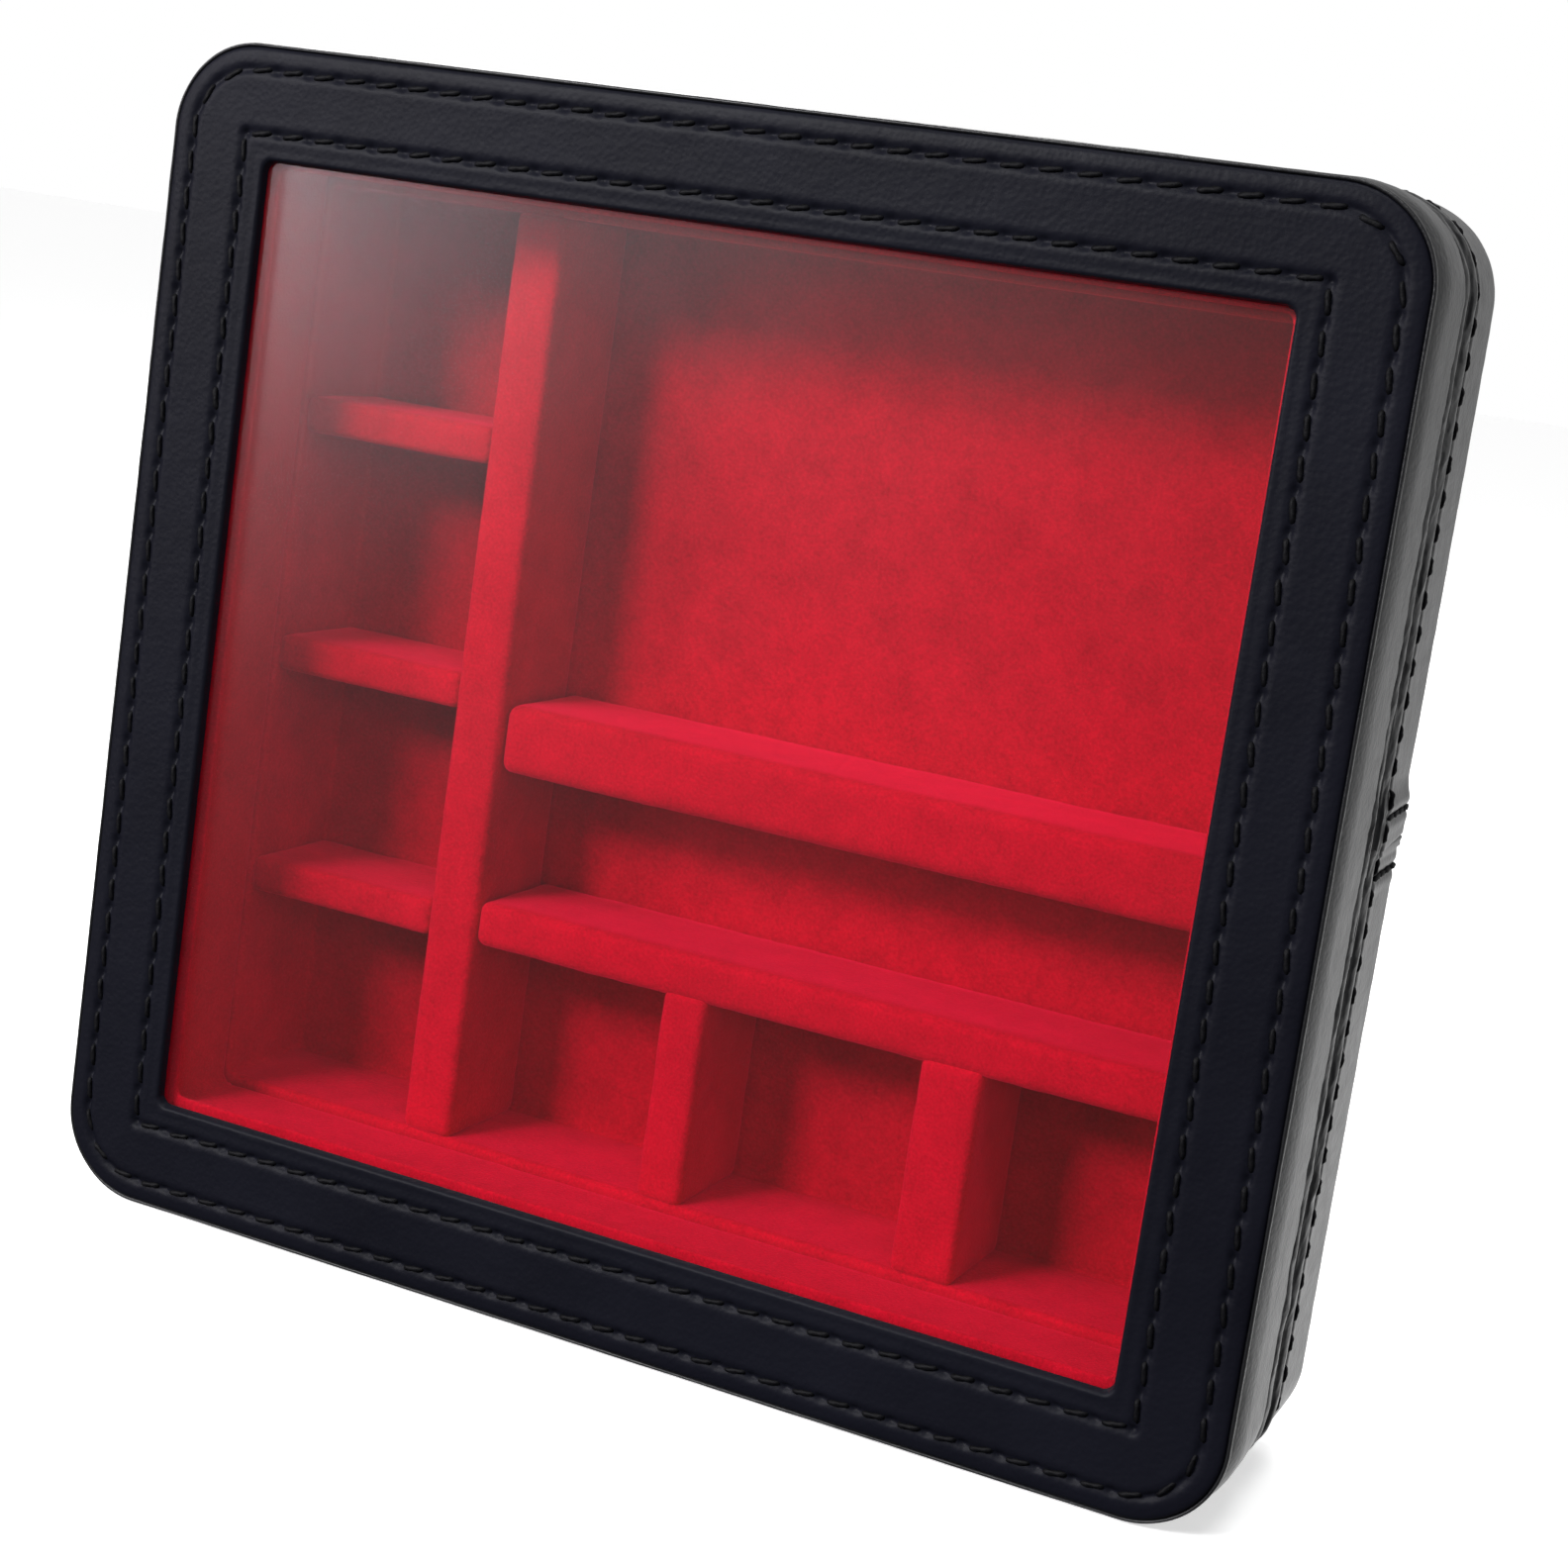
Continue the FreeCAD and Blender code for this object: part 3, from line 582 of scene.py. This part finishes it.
SHOULDER = rounded([(1.30, -16.9), (1.22, -17.25), (1.02, -17.1), (0.80, -16.55), (0.52, -15.7),
                    (0.28, -14.7), (0.11, -13.6), (0.02, -12.6), (0.0, -11.8)], 3)
lid_band_profile = np.concatenate([
    SHOULDER,
    dense([(0.0, -11.4), (0.0, -3.8)], 0.6),
    rounded([(0.0, -3.4), (0.04, -2.95), (0.30, -2.62), (0.80, -2.55), (1.2, -2.6)], 2),
])
lid_band = sweep("lid_band", CASE, THREE_SIDES, 0.8, lid_band_profile, 1.0, LID_LEATHER,
                 "lid", lift=lid_band_lift)
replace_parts(lid_band, "lid_side_band")


def slot_gap(z):
    """0..1: how far the lips are pushed apart beside the parked sliders."""
    return smooth((z - (JOINT_Z - 0.3)) / 1.1) * (1 - smooth((z - 82.6) / 7.0))


def on_right(x):
    return x > CASE_W / 2 - 2.5


def mouth_wave(x, z, seed):
    """How far a lip wanders away from the middle of the zip's mouth, never into it."""
    points = np.stack([x, 0 * x, z], axis=-1)
    away = 0.20 + 0.22 * ripple(points, 9.0, seed) + 0.09 * ripple(points, 4.0, seed + 1)
    return np.maximum(away, 0.0)


def flap_shape(x, y, z):
    gap = np.where(on_right(x), slot_gap(z), 0.0)
    edge = smooth((y + 1.6) / 2.0)
    y = y - edge * (mouth_wave(x, z, 41) + 0.75 * gap)
    return x, y, z


def flap_lift(points, run, part, inset):
    calm = 1 - smooth(points[..., 1] / 0.4)
    return (0.15 * ripple(points, 5.5, 44) + 0.05 * ripple(points, 2.6, 45)) * calm


flap_profile = rounded([(1.15, -2.34), (0.75, -2.36), (0.54, -2.02), (0.30, -1.55), (0.10, -1.15),
                        (0.02, -0.6), (0.03, 0.1), (0.18, 0.55), (0.58, 0.78), (1.05, 0.62),
                        (1.15, 0.1)], 3)
flap = sweep("zip_lip_lid", CASE, THREE_SIDES, 0.5, flap_profile, 1.0, SIDE_LEATHER,
             "lid", lift=flap_lift, shape=flap_shape)
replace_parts(flap, "lid_zip_flap")

# ------------------------------------------------------------------ base shell

LOWER_RUNS = [(0, 0.0, 1.0), (1, 0.0, 1.0), (2, 0.0, 1.0), (3, 0.0, right_part(JOINT_Z))]
UPPER_RUNS = [(3, right_part(JOINT_Z), 1.0), (4, 0.0, 1.0), (5, 0.0, 1.0), (6, 0.0, 1.0)]


def joint_slant(y):
    """Height of the overlapping end's edge at depth y."""
    return JOINT_Z - 0.35 + 0.08 * (y - 4.3)


def base_lift(marks):
    """The base strip's relief: sewn line, raised upper end, dips at the bar stitches."""
    def lift(points, run, part, inset):
        x, y, z = points[..., 0], points[..., 1], points[..., 2]
        near = to_hole(CASE.travel(run, part, 0.0), marks)
        flat = smooth((0.35 - inset) / 0.3)
        rise = sewn(near, y - SIDE_LINE_Y, 0.16, 0.40, 0.5, 0.55) * flat
        rise += (0.05 * ripple(points, 24.0, 51) + 0.03 * ripple(points, 7.0, 52)) * flat
        rise += 0.14 * np.exp(-((y - 3.2) / 1.0) ** 2) * flat
        rise += 0.18 * (1 - smooth((y - 2.6) / 2.0)) * ripple(points, 5.5, 63) * flat
        right = on_right(x)
        rise += np.where(right & (z > JOINT_Z - 1), 0.42 * (1 - smooth((z - 84.5) / 3.5))
                         * smooth((y - 3.6) / 1.2), 0.0) * flat
        for row in BAR_ROWS:
            dip = 0.32 * np.exp(-((z - row) / 0.55) ** 2) * smooth((y - 5.0) / 0.6)
            swell = 0.12 * np.exp(-((np.abs(z - row) - 1.3) / 0.7) ** 2) * smooth((y - 5.0) / 0.6)
            rise += np.where(right, swell - dip, 0.0) * flat
        below = right & (z < JOINT_Z) & (z > JOINT_Z - 4)
        rise -= np.where(below, 0.18 * smooth((z - JOINT_Z + 1.6) / 1.6)
                         * smooth((y - 4.0) / 1.2), 0.0) * flat
        return rise
    return lift


def lip_wave(x, y, z):
    gap = np.where(on_right(x), slot_gap(z), 0.0)
    edge = 1 - smooth((y - 1.6) / 2.2)
    return y + edge * (mouth_wave(x, z, 61) + 1.15 * gap)


def upper_shape(x, y, z):
    y = lip_wave(x, y, z)
    close = np.where(on_right(x), np.clip(1 - (z - JOINT_Z) / 4.0, 0, 1), 0.0)
    return x, y, z + (joint_slant(y) - JOINT_Z) * close


def lower_shape(x, y, z):
    return x, lip_wave(x, y, z), z


base_profile = np.concatenate([
    rounded([(1.15, 2.2), (1.12, 1.60), (0.80, 1.40), (0.50, 1.55), (0.25, 1.95), (0.08, 2.35),
             (0.0, 2.9), (0.0, 3.1)], 3),
    dense([(0.0, 3.3), (0.0, 6.6)], 0.18),
    dense([(0.0, 7.0), (0.0, 15.6)], 0.45),
    rounded([(0.0, 16.0), (0.03, 16.7), (0.22, 17.3), (0.60, 17.62), (1.15, 17.7)], 2),
])


def band_with_end(name, spans, shape, node, at_start):
    """A strip of the base's side band whose end at the joint is turned in."""
    run, part = CASE.stations(0.45, spans, 0.0)
    marks = line_holes(CASE, spans, 0.0, SIDE_LINE_Y, SIDE_STEP)[2]
    x, y, z = carried(CASE, run, part, base_profile, profile_normals(base_profile, 1.0),
                      base_lift(marks))
    points = np.stack(shape(x, y, z), axis=-1)
    end = points[0] if at_start else points[-1]
    out = -1.0 if at_start else 1.0
    turned = []
    for inward, along in ((0.10, 0.16), (0.32, 0.26), (0.62, 0.24), (0.95, 0.10)):
        row = end.copy()
        row[:, 0] -= inward
        row[:, 2] += out * along
        turned.append(row)
    if at_start:
        points = np.concatenate([np.array(turned[::-1]), points], axis=0)
    else:
        points = np.concatenate([points, np.array(turned)], axis=0)
    faces = grid_faces(len(points), len(base_profile), False)
    obj = mesh_object(name, points.reshape(-1, 3), faces, SIDE_LEATHER, "base")
    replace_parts(obj, node)


band_with_end("base_band_upper", UPPER_RUNS, upper_shape, "side_band_upper", True)
band_with_end("base_band_lower", LOWER_RUNS, lower_shape, "side_band_lower", False)

side_verts, side_faces = [], []
for spans in (LOWER_RUNS, UPPER_RUNS):
    pairs, outs, _ = line_holes(CASE, spans, 0.0, SIDE_LINE_Y, SIDE_STEP)
    ups = (outs[:-1] + outs[1:]) / 2
    ups /= np.linalg.norm(ups, axis=1, keepdims=True)
    lift_here = np.where((pairs[:, 0, 0] > 80) & (pairs[:, 0, 2] > JOINT_Z - 0.5)
                         & (pairs[:, 0, 2] < 86), 0.36, 0.0)
    pairs = pairs + (ups * lift_here[:, None])[:, None, :]
    verts, faces = stitch_mesh(pairs, ups, radius=0.30, crown=0.12, slant=0.12)
    shift = len(side_verts)
    side_verts += verts
    side_faces += [tuple(i + shift for i in f) for f in faces]
side_thread = mesh_object("side_stitches", side_verts, side_faces, THREAD, "base")
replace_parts(side_thread, "side_stitching")

bar_pairs, bar_ups = [], []
for row, raise_by in ((BAR_ROWS[0], 0.30), (BAR_ROWS[1], 0.0)):
    for k in range(4):
        y0 = 5.6 + 2.9 * k
        bar_pairs.append([(CASE_W / 2 + raise_by - 0.1, y0, row + 0.04 * k),
                          (CASE_W / 2 + raise_by - 0.1, y0 + 2.9, row + 0.04 * k)])
        bar_ups.append((1.0, 0.0, 0.0))
verts, faces = stitch_mesh(np.array(bar_pairs), np.array(bar_ups), radius=0.34, crown=0.10,
                           shrink=0.06, slant=0.10)
bars = mesh_object("band_end_bars", verts, faces, THREAD, "base")
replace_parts(bars, "band_end_stitches")

BACK_PAIRS, _, BACK_MARKS = line_holes(CASE, WHOLE, OUTER_LINE, REAR_Y, FRONT_STEP)


def back_lift(points, run, part, inset):
    near = to_hole(CASE.travel(run, part, OUTER_LINE), BACK_MARKS)
    rise = sewn(near, inset - OUTER_LINE)
    rise += 0.05 * ripple(points, 40.0, 71) + 0.015 * ripple(points, 7.0, 72)
    return rise * smooth((inset - 0.9) / 0.8)


back_profile = np.concatenate([
    rounded([(1.25, 17.55), (0.72, 17.66), (0.50, 17.98), (0.72, 18.34), (1.25, 18.5)], 2),
    dense([(1.5, 18.5), (2.3, 18.5)], 0.3),
    dense([(2.45, 18.5), (4.8, 18.5)], 0.2),
    dense([(5.2, 18.5), (11.5, 18.5)], 1.6),
])


def back_sheet():
    """The back's leatherette: a swept border and a gently uneven middle."""
    run, part = CASE.stations(0.7, WHOLE, 4.0)
    run, part = run[:-1], part[:-1]
    norm = profile_normals(back_profile, 1.0)
    norm = norm * np.sign(norm[-1, 1])
    border = np.stack(carried(CASE, run, part, back_profile, norm, back_lift), axis=-1)
    rim = border[:, -1, :]
    middle = np.array([0.0, REAR_Y, MID_Z])
    inner = []
    for share in (0.9, 0.78, 0.64, 0.48, 0.32, 0.16):
        ring = rim.copy()
        ring[:, 0] = middle[0] + (rim[:, 0] - middle[0]) * share
        ring[:, 2] = middle[2] + (rim[:, 2] - middle[2]) * share
        ring[:, 1] = REAR_Y + 0.05 * ripple(ring * np.array([1, 0, 1]), 40.0, 71)
        inner.append(ring)
    grid = np.concatenate([border] + [ring[:, None, :] for ring in inner], axis=1)
    cols = grid.shape[1]
    verts = np.concatenate([grid.reshape(-1, 3), middle[None]], axis=0)
    faces = grid_faces(len(run), cols, True)
    hub = len(verts) - 1
    for i in range(len(run)):
        faces.append((i * cols + cols - 1, hub, ((i + 1) % len(run)) * cols + cols - 1))
    obj = mesh_object("back_leather", verts, faces, LEATHER, "base")
    bm = bmesh.new()
    bm.from_mesh(obj.data)
    bmesh.ops.recalc_face_normals(bm, faces=bm.faces)
    if sum(f.normal.y * f.calc_area() for f in bm.faces) < 0:
        bmesh.ops.reverse_faces(bm, faces=bm.faces)
    bm.to_mesh(obj.data)
    bm.free()
    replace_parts(obj, "back_panel")


back_sheet()
sewn_line("back_stitches", "back_stitching", BACK_PAIRS, (0.0, 1.0, 0.0), "base")

# ------------------------------------------------------------------ spine


def spine_lift(points, run, part, inset):
    y = points[..., 1]
    fold = 0.30 * np.exp(-((y - LINE_Y) / 0.8) ** 2)
    swell = 0.14 * np.exp(-((np.abs(y - LINE_Y) - 2.6) / 1.4) ** 2)
    wave = 0.07 * ripple(points, 18.0, 81) + 0.03 * ripple(points, 6.0, 82)
    return (swell - fold + wave) * smooth((0.4 - inset) / 0.4)


spine_profile = np.concatenate([
    SHOULDER,
    dense([(0.0, -11.4), (0.0, -6.4)], 0.8),
    dense([(0.0, -6.0), (0.0, 1.0)], 0.25),
    dense([(0.0, 1.5), (0.0, 15.6)], 0.8),
    rounded([(0.0, 16.0), (0.03, 16.7), (0.22, 17.3), (0.60, 17.62), (1.15, 17.7)], 2),
])
spine = sweep("spine_sheet", CASE, [(7, -0.002, 1.002)], 0.9, spine_profile, 1.0,
              SIDE_LEATHER, None, lift=spine_lift)
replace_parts(spine, "spine_leaf_lid", "spine_leaf_base")
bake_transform(spine)

# ------------------------------------------------------------------ flocked linings


WELL = Outline(135.6, 123.6, 0.9, 77.5, lambda inset: 0.7 + 0 * inset)
WINDOW = Outline(135.6, 126.6, 1.6, 78.0, lambda inset: 1.2 + 0 * inset)


def flock_lift(points, run, part, inset):
    return 0.10 * ripple(points, 14.0, 91) + 0.05 * ripple(points, 3.0, 92)


retainer_profile = rounded([(-2.2, -15.72), (0.2, -15.74), (0.75, -15.68), (0.98, -15.35),
                            (0.80, -14.95), (0.30, -14.78), (-0.4, -14.8)], 2)
retainer = sweep("retainer_flock", WINDOW, WHOLE, 0.9, retainer_profile, -1.0, FLOCK, "lid",
                 closed=True)
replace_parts(retainer, "window_retainer")

lid_lining_profile = np.concatenate([
    dense([(0.05, -14.85), (0.0, -4.4)], 0.9),
    rounded([(0.0, -4.0), (-0.03, -3.3), (-0.28, -2.85), (-0.8, -2.68), (-1.5, -2.66)], 2),
    dense([(-1.8, -2.66), (-7.8, -2.66)], 1.2),
    np.array([(-8.15, -2.8), (-8.2, -3.05)]),
])
lid_lining = sweep("lid_lining_flock", WINDOW, WHOLE, 0.9, lid_lining_profile, -1.0, FLOCK,
                   "lid", lift=lambda p, r, t, s: -0.6 * abs(flock_lift(p, r, t, s)),
                   closed=True)
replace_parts(lid_lining, "lid_lining")

well_profile = np.concatenate([
    np.array([(-8.2, -1.95), (-8.15, -2.2)]),
    dense([(-7.8, -2.33), (-1.6, -2.33)], 1.2),
    rounded([(-1.3, -2.33), (-0.7, -2.30), (-0.22, -2.05), (0.0, -1.5), (0.0, -0.8)], 2),
    dense([(0.0, -0.4), (0.0, 14.7)], 0.9),
    rounded([(0.0, 15.0), (0.15, 15.35), (0.6, 15.52), (1.3, 15.54)], 2),
])
well = sweep("well_flock", WELL, WHOLE, 0.9, well_profile, -1.0, FLOCK, "base",
             lift=lambda p, r, t, s: -0.5 * abs(flock_lift(p, r, t, s)), closed=True)
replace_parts(well, "wall_lining")


def back_wall():
    """The flocked lining at the back of the compartments."""
    xs = np.linspace(-68.3, 68.3, 150)
    zs = np.linspace(15.0, 140.9, 140)
    gx, gz = np.meshgrid(xs, zs, indexing="ij")
    points = np.stack([gx, np.zeros_like(gx), gz], axis=-1)
    points[..., 1] = (15.55 + 0.08 * ripple(points, 22.0, 101)
                      + 0.03 * ripple(points, 4.0, 102))
    faces = grid_faces(len(xs), len(zs), False)
    obj = mesh_object("back_flock", points.reshape(-1, 3), faces, FLOCK, "base")
    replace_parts(obj, "back_lining")


back_wall()


def axis_steps(low, high, rad, step):
    edge = np.array([0.0, 0.12, 0.32, 0.6, 1.0]) * rad
    count = max(2, int((high - low - 2 * rad) / step) + 1)
    middle = np.linspace(low + rad, high - rad, count + 1)[1:-1]
    return np.concatenate([low + edge, middle, (high - edge)[::-1]])


def pad(name, node, low, high, rad, seed):
    """A flocked board: softly rounded front edges and an uneven pile."""
    low, high = np.array(low, float), np.array(high, float)
    steps = [axis_steps(low[a], high[a], rad, 1.3) for a in range(3)]
    verts, faces, index = [], [], {}

    def corner(point):
        key = tuple(np.round(point, 4))
        if key not in index:
            index[key] = len(verts)
            verts.append(point)
        return index[key]

    for axis in range(3):
        u, v = (axis + 1) % 3, (axis + 2) % 3
        for value, flip in ((low[axis], True), (high[axis], False)):
            for i in range(len(steps[u]) - 1):
                for j in range(len(steps[v]) - 1):
                    quad = []
                    for a, b in ((i, j), (i + 1, j), (i + 1, j + 1), (i, j + 1)):
                        point = np.zeros(3)
                        point[axis], point[u], point[v] = value, steps[u][a], steps[v][b]
                        quad.append(corner(point))
                    faces.append(tuple(quad[::-1] if flip else quad))
    points = np.array(verts)
    core = np.clip(points, low + rad, high - rad)
    away = points - core
    size = np.linalg.norm(away, axis=1, keepdims=True)
    away = away / np.maximum(size, 1e-9)
    points = core + away * rad
    rise = 0.07 * ripple(points, 18.0, seed) + 0.035 * ripple(points, 3.2, seed + 1) - 0.04
    points = points + away * rise[:, None]
    obj = mesh_object(name, points, faces, FLOCK, "base")
    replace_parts(obj, node)


PAD_FRONT, PAD_BACK = -2.4, 15.8
FLOOR_Z = 15.3           # where the upright boards stand in the well
ROW_TOP = 43.6           # where the lower row's boards end, inside the rail
LEFT_X, RIGHT_X = -68.1, 68.1

pad("divider_flock", "vertical_divider", (-39.3, PAD_FRONT, FLOOR_Z), (-31.8, PAD_BACK, 139.7),
    1.3, 201)
pad("shelf_flock", "display_shelf", (-31.5, PAD_FRONT, 66.5), (RIGHT_X, PAD_BACK, 75.8),
    1.7, 203)
pad("rail_flock", "lower_rail", (-31.9, PAD_FRONT + 0.1, 42.7), (RIGHT_X, PAD_BACK, 48.9),
    1.5, 205)
for side, left, right, seed in (("left", -3.4, 3.1, 207), ("right", 32.7, 41.2, 209)):
    pad("row_divider_%s_flock" % side, "lower_divider_%s" % side, (left, PAD_FRONT, FLOOR_Z),
        (right, PAD_BACK, ROW_TOP), 1.2, seed)
for level, low_z, seed in (("low", 42.1, 211), ("mid", 73.4, 213), ("top", 106.2, 215)):
    pad("dice_shelf_%s_flock" % level, "dice_shelf_%s" % level,
        (LEFT_X, PAD_FRONT + 0.5, low_z), (-39.0, PAD_BACK, low_z + 5.0), 1.2, seed)

# ------------------------------------------------------------------ zip


def coil(name, node, body, centre_y, toward, phase):
    """The zip's spiral of monofilament along the tape's edge.

    toward is the way (+1 or -1 on y) in which its turns lean at phase 0.
    """
    run, part = CASE.stations(0.5, THREE_SIDES, COIL_INSET)
    gone = CASE.travel(run, part, COIL_INSET)
    turns = int(gone[-1] / 1.25)         # one turn every 1.25 mm
    per = 9                              # points in a turn
    marks = np.linspace(0, gone[-1], turns * per)
    angle = np.arange(turns * per) * 2 * math.pi / per + phase
    x, z, nx, nz = CASE.at(run, part, COIL_INSET)
    cx, cz = np.interp(marks, gone, x), np.interp(marks, gone, z)
    ox, oz = np.interp(marks, gone, nx), np.interp(marks, gone, nz)
    size = np.hypot(ox, oz)
    ox, oz = ox / size, oz / size
    out = 0.36 * np.cos(angle)
    deep = toward * 0.62 * np.sin(angle)
    path = np.stack([cx + ox * out, centre_y + deep, cz + oz * out], axis=1)
    way = np.gradient(path, axis=0)
    way /= np.linalg.norm(way, axis=1, keepdims=True)
    ref = np.stack([ox, np.zeros_like(ox), oz], axis=1)
    side_a = np.cross(way, ref)
    side_a /= np.maximum(np.linalg.norm(side_a, axis=1, keepdims=True), 1e-6)
    side_b = np.cross(way, side_a)
    wire, around = 0.19, 5               # its radius, and points round it
    turn = np.arange(around) * 2 * math.pi / around
    verts = (path[:, None, :] + wire * (np.cos(turn)[None, :, None] * side_a[:, None, :]
                                        + np.sin(turn)[None, :, None] * side_b[:, None, :]))
    faces = []
    for i in range(len(path) - 1):
        for k in range(around):
            n = (k + 1) % around
            faces.append((i * around + k, i * around + n, (i + 1) * around + n,
                          (i + 1) * around + k))
    obj = mesh_object(name, verts.reshape(-1, 3), faces, COIL, body)
    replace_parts(obj, node)


coil("coil_lid", "zip_teeth_lid", "lid", 0.30, 1.0, 0.0)
coil("coil_base", "zip_teeth_base", "base", 1.90, -1.0, math.pi)


def tape(name, node, body, y_far, y_near, y_edge, seed):
    """Woven zip tape: a thin ribbed strip whose edge lies behind the coil."""
    ribs = dense([(3.92, y_far), (3.92, y_near)], 0.22)
    ribs[1:-1:2, 0] += 0.07
    edge = dense([(4.62, y_near), (4.62, y_edge), (4.78, y_edge), (4.78, y_near)], 0.3)
    profile = np.concatenate([ribs, edge, dense([(4.36, y_near), (4.36, y_far)], 1.0), ribs[:1]])
    if y_far > y_near:
        profile = profile[::-1]
    obj = sweep(name, CASE, THREE_SIDES, 1.0, profile, 1.0, TAPE, body,
                lift=lambda p, r, t, s: 0.03 * ripple(p, 5.0, seed))
    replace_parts(obj, node)


tape("tape_lid", "zip_tape_lid", "lid", -6.8, -0.4, 1.05, 301)
tape("tape_base", "zip_tape_base", "base", 6.6, 2.6, 1.15, 303)



def metal_piece(node):
    """A zip slider or pull with its edges broken, in place of the CAD node."""
    bm = bmesh.new()
    bm.from_mesh(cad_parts[node].data)
    bmesh.ops.remove_doubles(bm, verts=bm.verts, dist=0.000002)
    bmesh.ops.dissolve_limit(bm, angle_limit=math.radians(4), verts=bm.verts, edges=bm.edges)
    sharp = [e for e in bm.edges
             if len(e.link_faces) == 2 and e.calc_face_angle(0.0) > math.radians(35)]
    bmesh.ops.bevel(bm, geom=sharp, offset=0.00012, segments=2, profile=0.5,
                    affect="EDGES", clamp_overlap=True)
    mesh = bpy.data.meshes.new(node + "_metal")
    bm.to_mesh(mesh)
    bm.free()
    obj = show(node + "_metal", mesh)
    mesh.materials.append(METAL)
    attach(obj, node)
    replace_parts(obj, node)


for node in ("slider_upper", "slider_lower", "pull_upper", "pull_lower"):
    metal_piece(node)
for node, material in (("lid_frame", BOARD), ("base_frame", BOARD), ("back_board", BOARD),
                       ("window_pane", ACRYLIC)):
    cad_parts[node].data.materials.clear()
    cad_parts[node].data.materials.append(material)

# ------------------------------------------------------------------ stage, light, camera


def stage_floor():
    """A pale floor that the object neither mirrors nor is lit by."""
    mat, _, _, shader = node_material("floor")
    shader.inputs["Base Color"].default_value = (0.9, 0.9, 0.9, 1)
    shader.inputs["Roughness"].default_value = 0.9
    shader.inputs["Emission Color"].default_value = (1, 1, 1, 1)
    shader.inputs["Emission Strength"].default_value = 0.5
    size, level = 6.0, -0.00002
    mesh = bpy.data.meshes.new("floor")
    mesh.from_pydata([(-size, -size, level), (size, -size, level),
                      (size, size, level), (-size, size, level)], [], [(0, 1, 2, 3)])
    obj = show("floor", mesh)
    mesh.materials.append(mat)
    obj.visible_glossy = False
    obj.visible_diffuse = False


stage_floor()


def area(name, place, target, size_x, size_y, power, colour=(1, 1, 1)):
    """A soft rectangular light at a place, turned to a target."""
    light = bpy.data.lights.new(name, "AREA")
    light.shape = "RECTANGLE"
    light.size, light.size_y = size_x, size_y
    light.energy = power
    light.color = colour
    obj = show(name, light)
    look = np.array(target, float) - np.array(place, float)
    look /= np.linalg.norm(look)
    right = np.cross(look, (0, 0, 1))
    right /= np.linalg.norm(right)
    turn_to(obj, right, np.cross(right, look), look, place)
    return obj


def turn_to(obj, right, up, look, place):
    """Puts a light or camera at a place, facing along look."""
    obj.matrix_world = Matrix((
        (right[0], up[0], -look[0], place[0]), (right[1], up[1], -look[1], place[1]),
        (right[2], up[2], -look[2], place[2]), (0, 0, 0, 1)))


MIDDLE = (0.0, 0.0, 0.08)
area("key", (-0.33, -0.66, 0.47), MIDDLE, 0.19, 0.19, 6.3)
area("fill_front", (0.80, -0.85, 0.35), MIDDLE, 0.7, 0.7, 4.6).visible_glossy = False
area("front_top", (0.15, -0.55, 1.05), MIDDLE, 0.5, 0.3, 3.6)
area("left_panel", (-0.90, -0.78, 0.36), (0.0, 0.0, 0.10), 0.50, 0.60, 9.0, (0.97, 0.93, 1.0))
area("fill_right", (0.9, 0.25, 0.30), (0.0, 0.0, 0.06), 0.6, 0.5, 1.1)
area("back_left", (-0.85, 1.15, 0.60), MIDDLE, 0.8, 0.8, 11.0)
sun = bpy.data.lights.new("overhead", "SUN")
sun.energy = 1.1
sun.angle = math.radians(30)
show("overhead", sun)


def studio():
    """White to the camera. To the object it is bright behind, more so below the
    horizon, and dark in front."""
    world = bpy.data.worlds.new("studio")
    bpy.context.scene.world = world
    world.use_nodes = True
    tree = world.node_tree
    split = tree.nodes.new("ShaderNodeSeparateXYZ")
    tree.links.new(tree.nodes.new("ShaderNodeTexCoord").outputs["Generated"],
                   split.inputs["Vector"])
    behind = map_range(tree, split.outputs["Y"], 0.10, 0.95, 0.035, 0.72)
    below = map_range(tree, split.outputs["Z"], -0.02, -0.35, 1.0, 2.4)
    path = tree.nodes.new("ShaderNodeLightPath")
    background = tree.nodes["Background"]
    tree.links.new(math_node(tree, "MAXIMUM", path.outputs["Is Camera Ray"],
                          math_node(tree, "MULTIPLY", behind, below)),
                   background.inputs["Strength"])
    background.inputs["Color"].default_value = (1, 1, 1, 1)


studio()

# The camera's angles in radians, and the place of the middle of the front face as the
# camera sees it: mm to the right, down and ahead.
YAW, PITCH_DOWN, ROLL = 0.40536, 0.15420, 0.14306
FRONT_SEEN = np.array([-11.74975, 7.64206, 340.3937])
forward = np.array([-math.sin(YAW) * math.cos(PITCH_DOWN),
                    math.cos(YAW) * math.cos(PITCH_DOWN), -math.sin(PITCH_DOWN)])
level = np.array([math.cos(YAW), math.sin(YAW), 0.0])
upright = np.cross(level, forward)
cam_right = level * math.cos(ROLL) + upright * math.sin(ROLL)
cam_up = -level * math.sin(ROLL) + upright * math.cos(ROLL)
to_camera = np.array([cam_right, -cam_up, forward])
eye = (-to_camera.T @ FRONT_SEEN + np.array([0.0, FACE_Y, MID_Z])) * MM
lens = bpy.data.cameras.new("camera")
lens.sensor_fit = "HORIZONTAL"
lens.sensor_width = 36.0
lens.lens = 64.1670454545
lens.shift_x, lens.shift_y = 0.0133017677, -0.0630681818
lens.clip_start = 0.01
camera = show("camera", lens)
turn_to(camera, cam_right, cam_up, forward, eye)
bpy.context.scene.camera = camera

bpy.context.scene.view_settings.view_transform = "Standard"
